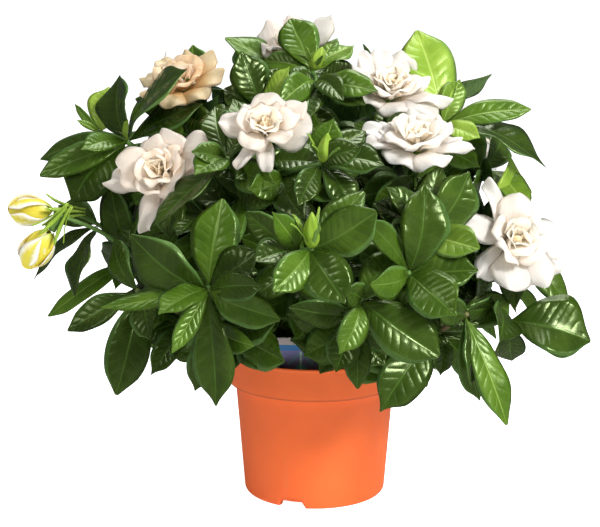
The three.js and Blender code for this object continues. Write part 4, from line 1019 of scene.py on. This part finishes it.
# each bloom's age and blush, and the outer petals of those that show: turn from the right as seen from
# the front, how far open, and their length and width as shares. The blush is partly the petals' own tinge
# and partly painted shade: it is highest on the blooms to the left, in the dimmer light.
BLOOMS = {
    "bloom_upper_left": (0.95, 0.6, [(180, 86, 1.0, 0.7), (140, 60, 0.95, 0.8), (96, 44, 0.95, 0.7),
        (46, 58, 1.1, 0.9), (8, 80, 1.1, 1.0), (-42, 102, 1.0, 0.8), (-92, 106, 1.05, 0.9),
        (222, 100, 1.0, 0.8)]),
    "bloom_left": (0.12, 0.9, [(194, 92, 1.12, 0.62), (163, 74, 0.8, 0.62), (183, 84, 0.9, 0.5),
        (259, 100, 1.2, 0.5), (290, 88, 0.85, 0.8), (332, 82, 0.9, 0.9), (34, 84, 1.15, 0.75),
        (86, 66, 0.8, 1.0)]),
    "bloom_centre": (0.04, 0.7, [(174, 80, 0.98, 0.72), (238, 108, 1.08, 0.42), (274, 104, 1.0, 0.5),
        (-4, 84, 1.1, 1.15), (30, 78, 1.05, 0.7), (128, 60, 0.75, 0.75), (72, 46, 0.9, 1.0)]),
    "bloom_top": (0.1, 0.6, [(152, 36, 0.98, 1.15), (122, 30, 0.94, 1.2), (38, 68, 1.25, 1.1),
        (70, 20, 0.8, 0.7), (205, 60, 0.6, 0.9)]),
    "bloom_right": (0.1, 0.15, [(116, 80, 1.2, 0.55), (96, 66, 0.85, 0.6), (160, 88, 1.15, 0.6),
        (70, 60, 0.75, 0.5), (-8, 84, 0.9, 1.0), (-38, 90, 1.0, 0.8), (296, 76, 1.05, 0.9),
        (256, 74, 1.1, 0.9), (222, 104, 0.95, 0.6)]),
    "bloom_upper_right": (0.03, 0.3, [(158, 52, 0.95, 0.8), (134, 42, 1.05, 0.6), (102, 36, 1.0, 0.6),
        (58, 42, 1.0, 0.8), (18, 66, 0.95, 0.8), (-26, 98, 1.3, 0.7), (-52, 106, 1.2, 0.75),
        (-96, 92, 0.8, 0.8), (214, 86, 0.75, 0.7)]),
    "bloom_mid_right": (0.03, 0.15, [(168, 84, 1.1, 0.65), (192, 90, 1.0, 0.5), (234, 94, 0.9, 0.95),
        (294, 94, 0.9, 0.9), (-22, 92, 1.2, 0.55), (-2, 82, 0.9, 0.8), (36, 64, 0.85, 0.8),
        (152, 70, 0.85, 0.8), (98, 48, 0.8, 0.7)]),
    "bloom_back_right": (0.1, 0.2, []),
    "bloom_back_left": (0.3, 0.6, []),
}

petal_finish, tree, shader = finish_of("gardenia_petal")
along, across, beside, whorl = wire(tree, "Group", {"node_tree": reader}).outputs.values()
age, blush_and_shade, _ = note_of(tree, "petal_look")
place = wire(tree, "TexCoord").outputs["Object"]
# the blush mixes in the warmer, darker cream, partly the petals' own tinge and partly painted shade
colour, _, _ = mottled(place, 90.0, 3.0, 0.3, 0.75, blend(blush_and_shade, FRESH, BLUSH_AND_WARM_SHADE), CREAM, 0.4)
faded = times(step(0.3, 0.9, age), step(1.05, 0.4, along))
worn = times(step(0.75, 1.0, maths("MAXIMUM", along, beside)), step(0.2, 0.8, age))
colour = layered(colour, (whorl, 0.6, HEART), (age, 0.8, BUFF), (step(0.42, 0.05, along), 0.6, THROAT),
                 (faded, 0.75, ORANGE_ROOT), (worn, 0.6, WORN_EDGE))
ribs = wire(tree, "CombineXYZ", X=times(along, 2.0), Y=times(across, 9.0), Z=age).outputs[0]
feed(shader, Base_Color=colour, Roughness=0.5, Specular_IOR_Level=0.25, Subsurface_Weight=0.7,
     Subsurface_Radius=(1.0, 0.95, 0.9), Subsurface_Scale=0.008,
     Normal=bump(noise(ribs, 1.0, 2.0), 0.0012, 0.35))

for number, (name, base, axis, reach) in enumerate([f for f in flowers if "bloom" in f[0]]):
    random = np.random.default_rng(300 + number)
    age, blush_and_shade, outer = BLOOMS[name]
    parts = []
    turn = random.uniform(0, 2 * np.pi)
    for order, (count, long, wide, opened, start, cup, high, radius, curl) in enumerate(BLOOM_WHORLS):
        turns = turn + WHORL_TURN * order + even_turns(count) + random.uniform(-0.3, 0.3, count)
        opens = opened + random.uniform(-18, 18, count)
        shares = random.uniform(0.8, 1.12, (count, 2))
        if order == 0 and outer:
            outer = np.array(outer, float)
            turns, opens, shares = np.radians(outer[:, 0]), outer[:, 1], outer[:, 2:]
        if order and name == "bloom_top":
            shares = shares * TOP_BLOOM_INNER
        grid, place = petals(base, axis, turns, reach * long, reach * wide, opens, cup,
                             310 + 10 * number + order, height=high, radius=radius, rings=20, across=10,
                             ruffle=0.1, roundness=2.5, start=start, curl=curl, twist=24, shares=shares,
                             whorl=order / len(BLOOM_WHORLS))
        parts.append((grid, place, noted(grid, age * AGE_SHARES[order], blush_and_shade, 0)))
    heart = spindle(base + axis * 7, axis, reach * 0.42, 3.6, 3, 6.5, ridge=0.25, places=36)
    parts.append((heart, noted(heart, 0.5, 0.3, 1), noted(heart, age * AGE_SHARES[-1], blush_and_shade, 0)))
    grids, places, looks = zip(*parts)
    bloom = piece_of("petals_of_" + name, grids, petal_finish, blade_place=places, petal_look=looks)
    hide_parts(name)


# Opening buds
# Two large buds at the end of the long left shoot, just unfurling: yellow petals wound round each
# other, with pale edges touched with pink, on green necks with slender sepals.
BUD_YELLOW, BUD_PALE = (0.72, 0.60, 0.05), (0.92, 0.88, 0.74)
BUD_PINK, BUD_GREEN = (0.80, 0.45, 0.33), (0.42, 0.50, 0.05)

bud_finish, tree, shader = finish_of("opening_bud_petal")
along, _, beside, _ = wire(tree, "Group", {"node_tree": reader}).outputs.values()
place = wire(tree, "TexCoord").outputs["Object"]
pale = step(0.5, 0.9, plus(beside, times(minus(noise(place, 260.0, 2.0), 0.5), 0.5)))
colour = layered(blend(pale, BUD_YELLOW, BUD_PALE), (step(0.84, 1.0, beside), 0.35, BUD_PINK),
                 (step(0.28, 0.0, along), 1.0, BUD_GREEN))
feed(shader, Base_Color=colour, Roughness=0.42, Subsurface_Weight=0.15, Subsurface_Scale=0.003,
     Normal=grained(place, 500.0, 2.0, 0.0003, 0.3))

for number, (name, base, axis, reach) in enumerate([f for f in flowers if "opening_bud" in f[0]]):
    outer, place = petals(base, axis, even_turns(4) + number, reach * 1.12, reach * 0.95, -44.0, 0.08,
                          400 + number, height=1.0, radius=2.0, rings=18, across=10, ruffle=0.03,
                          roundness=2.4, start=62, twist=14)
    core = spindle(base + axis * 3, axis, reach * 0.94, 8.0, 3, 6.0, ridge=0.14)
    places = [place, noted(core, 0.6, 0.7, 0)]
    bud = piece_of("petals_of_" + name, [outer, core], bud_finish, blade_place=places)
    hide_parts(name)
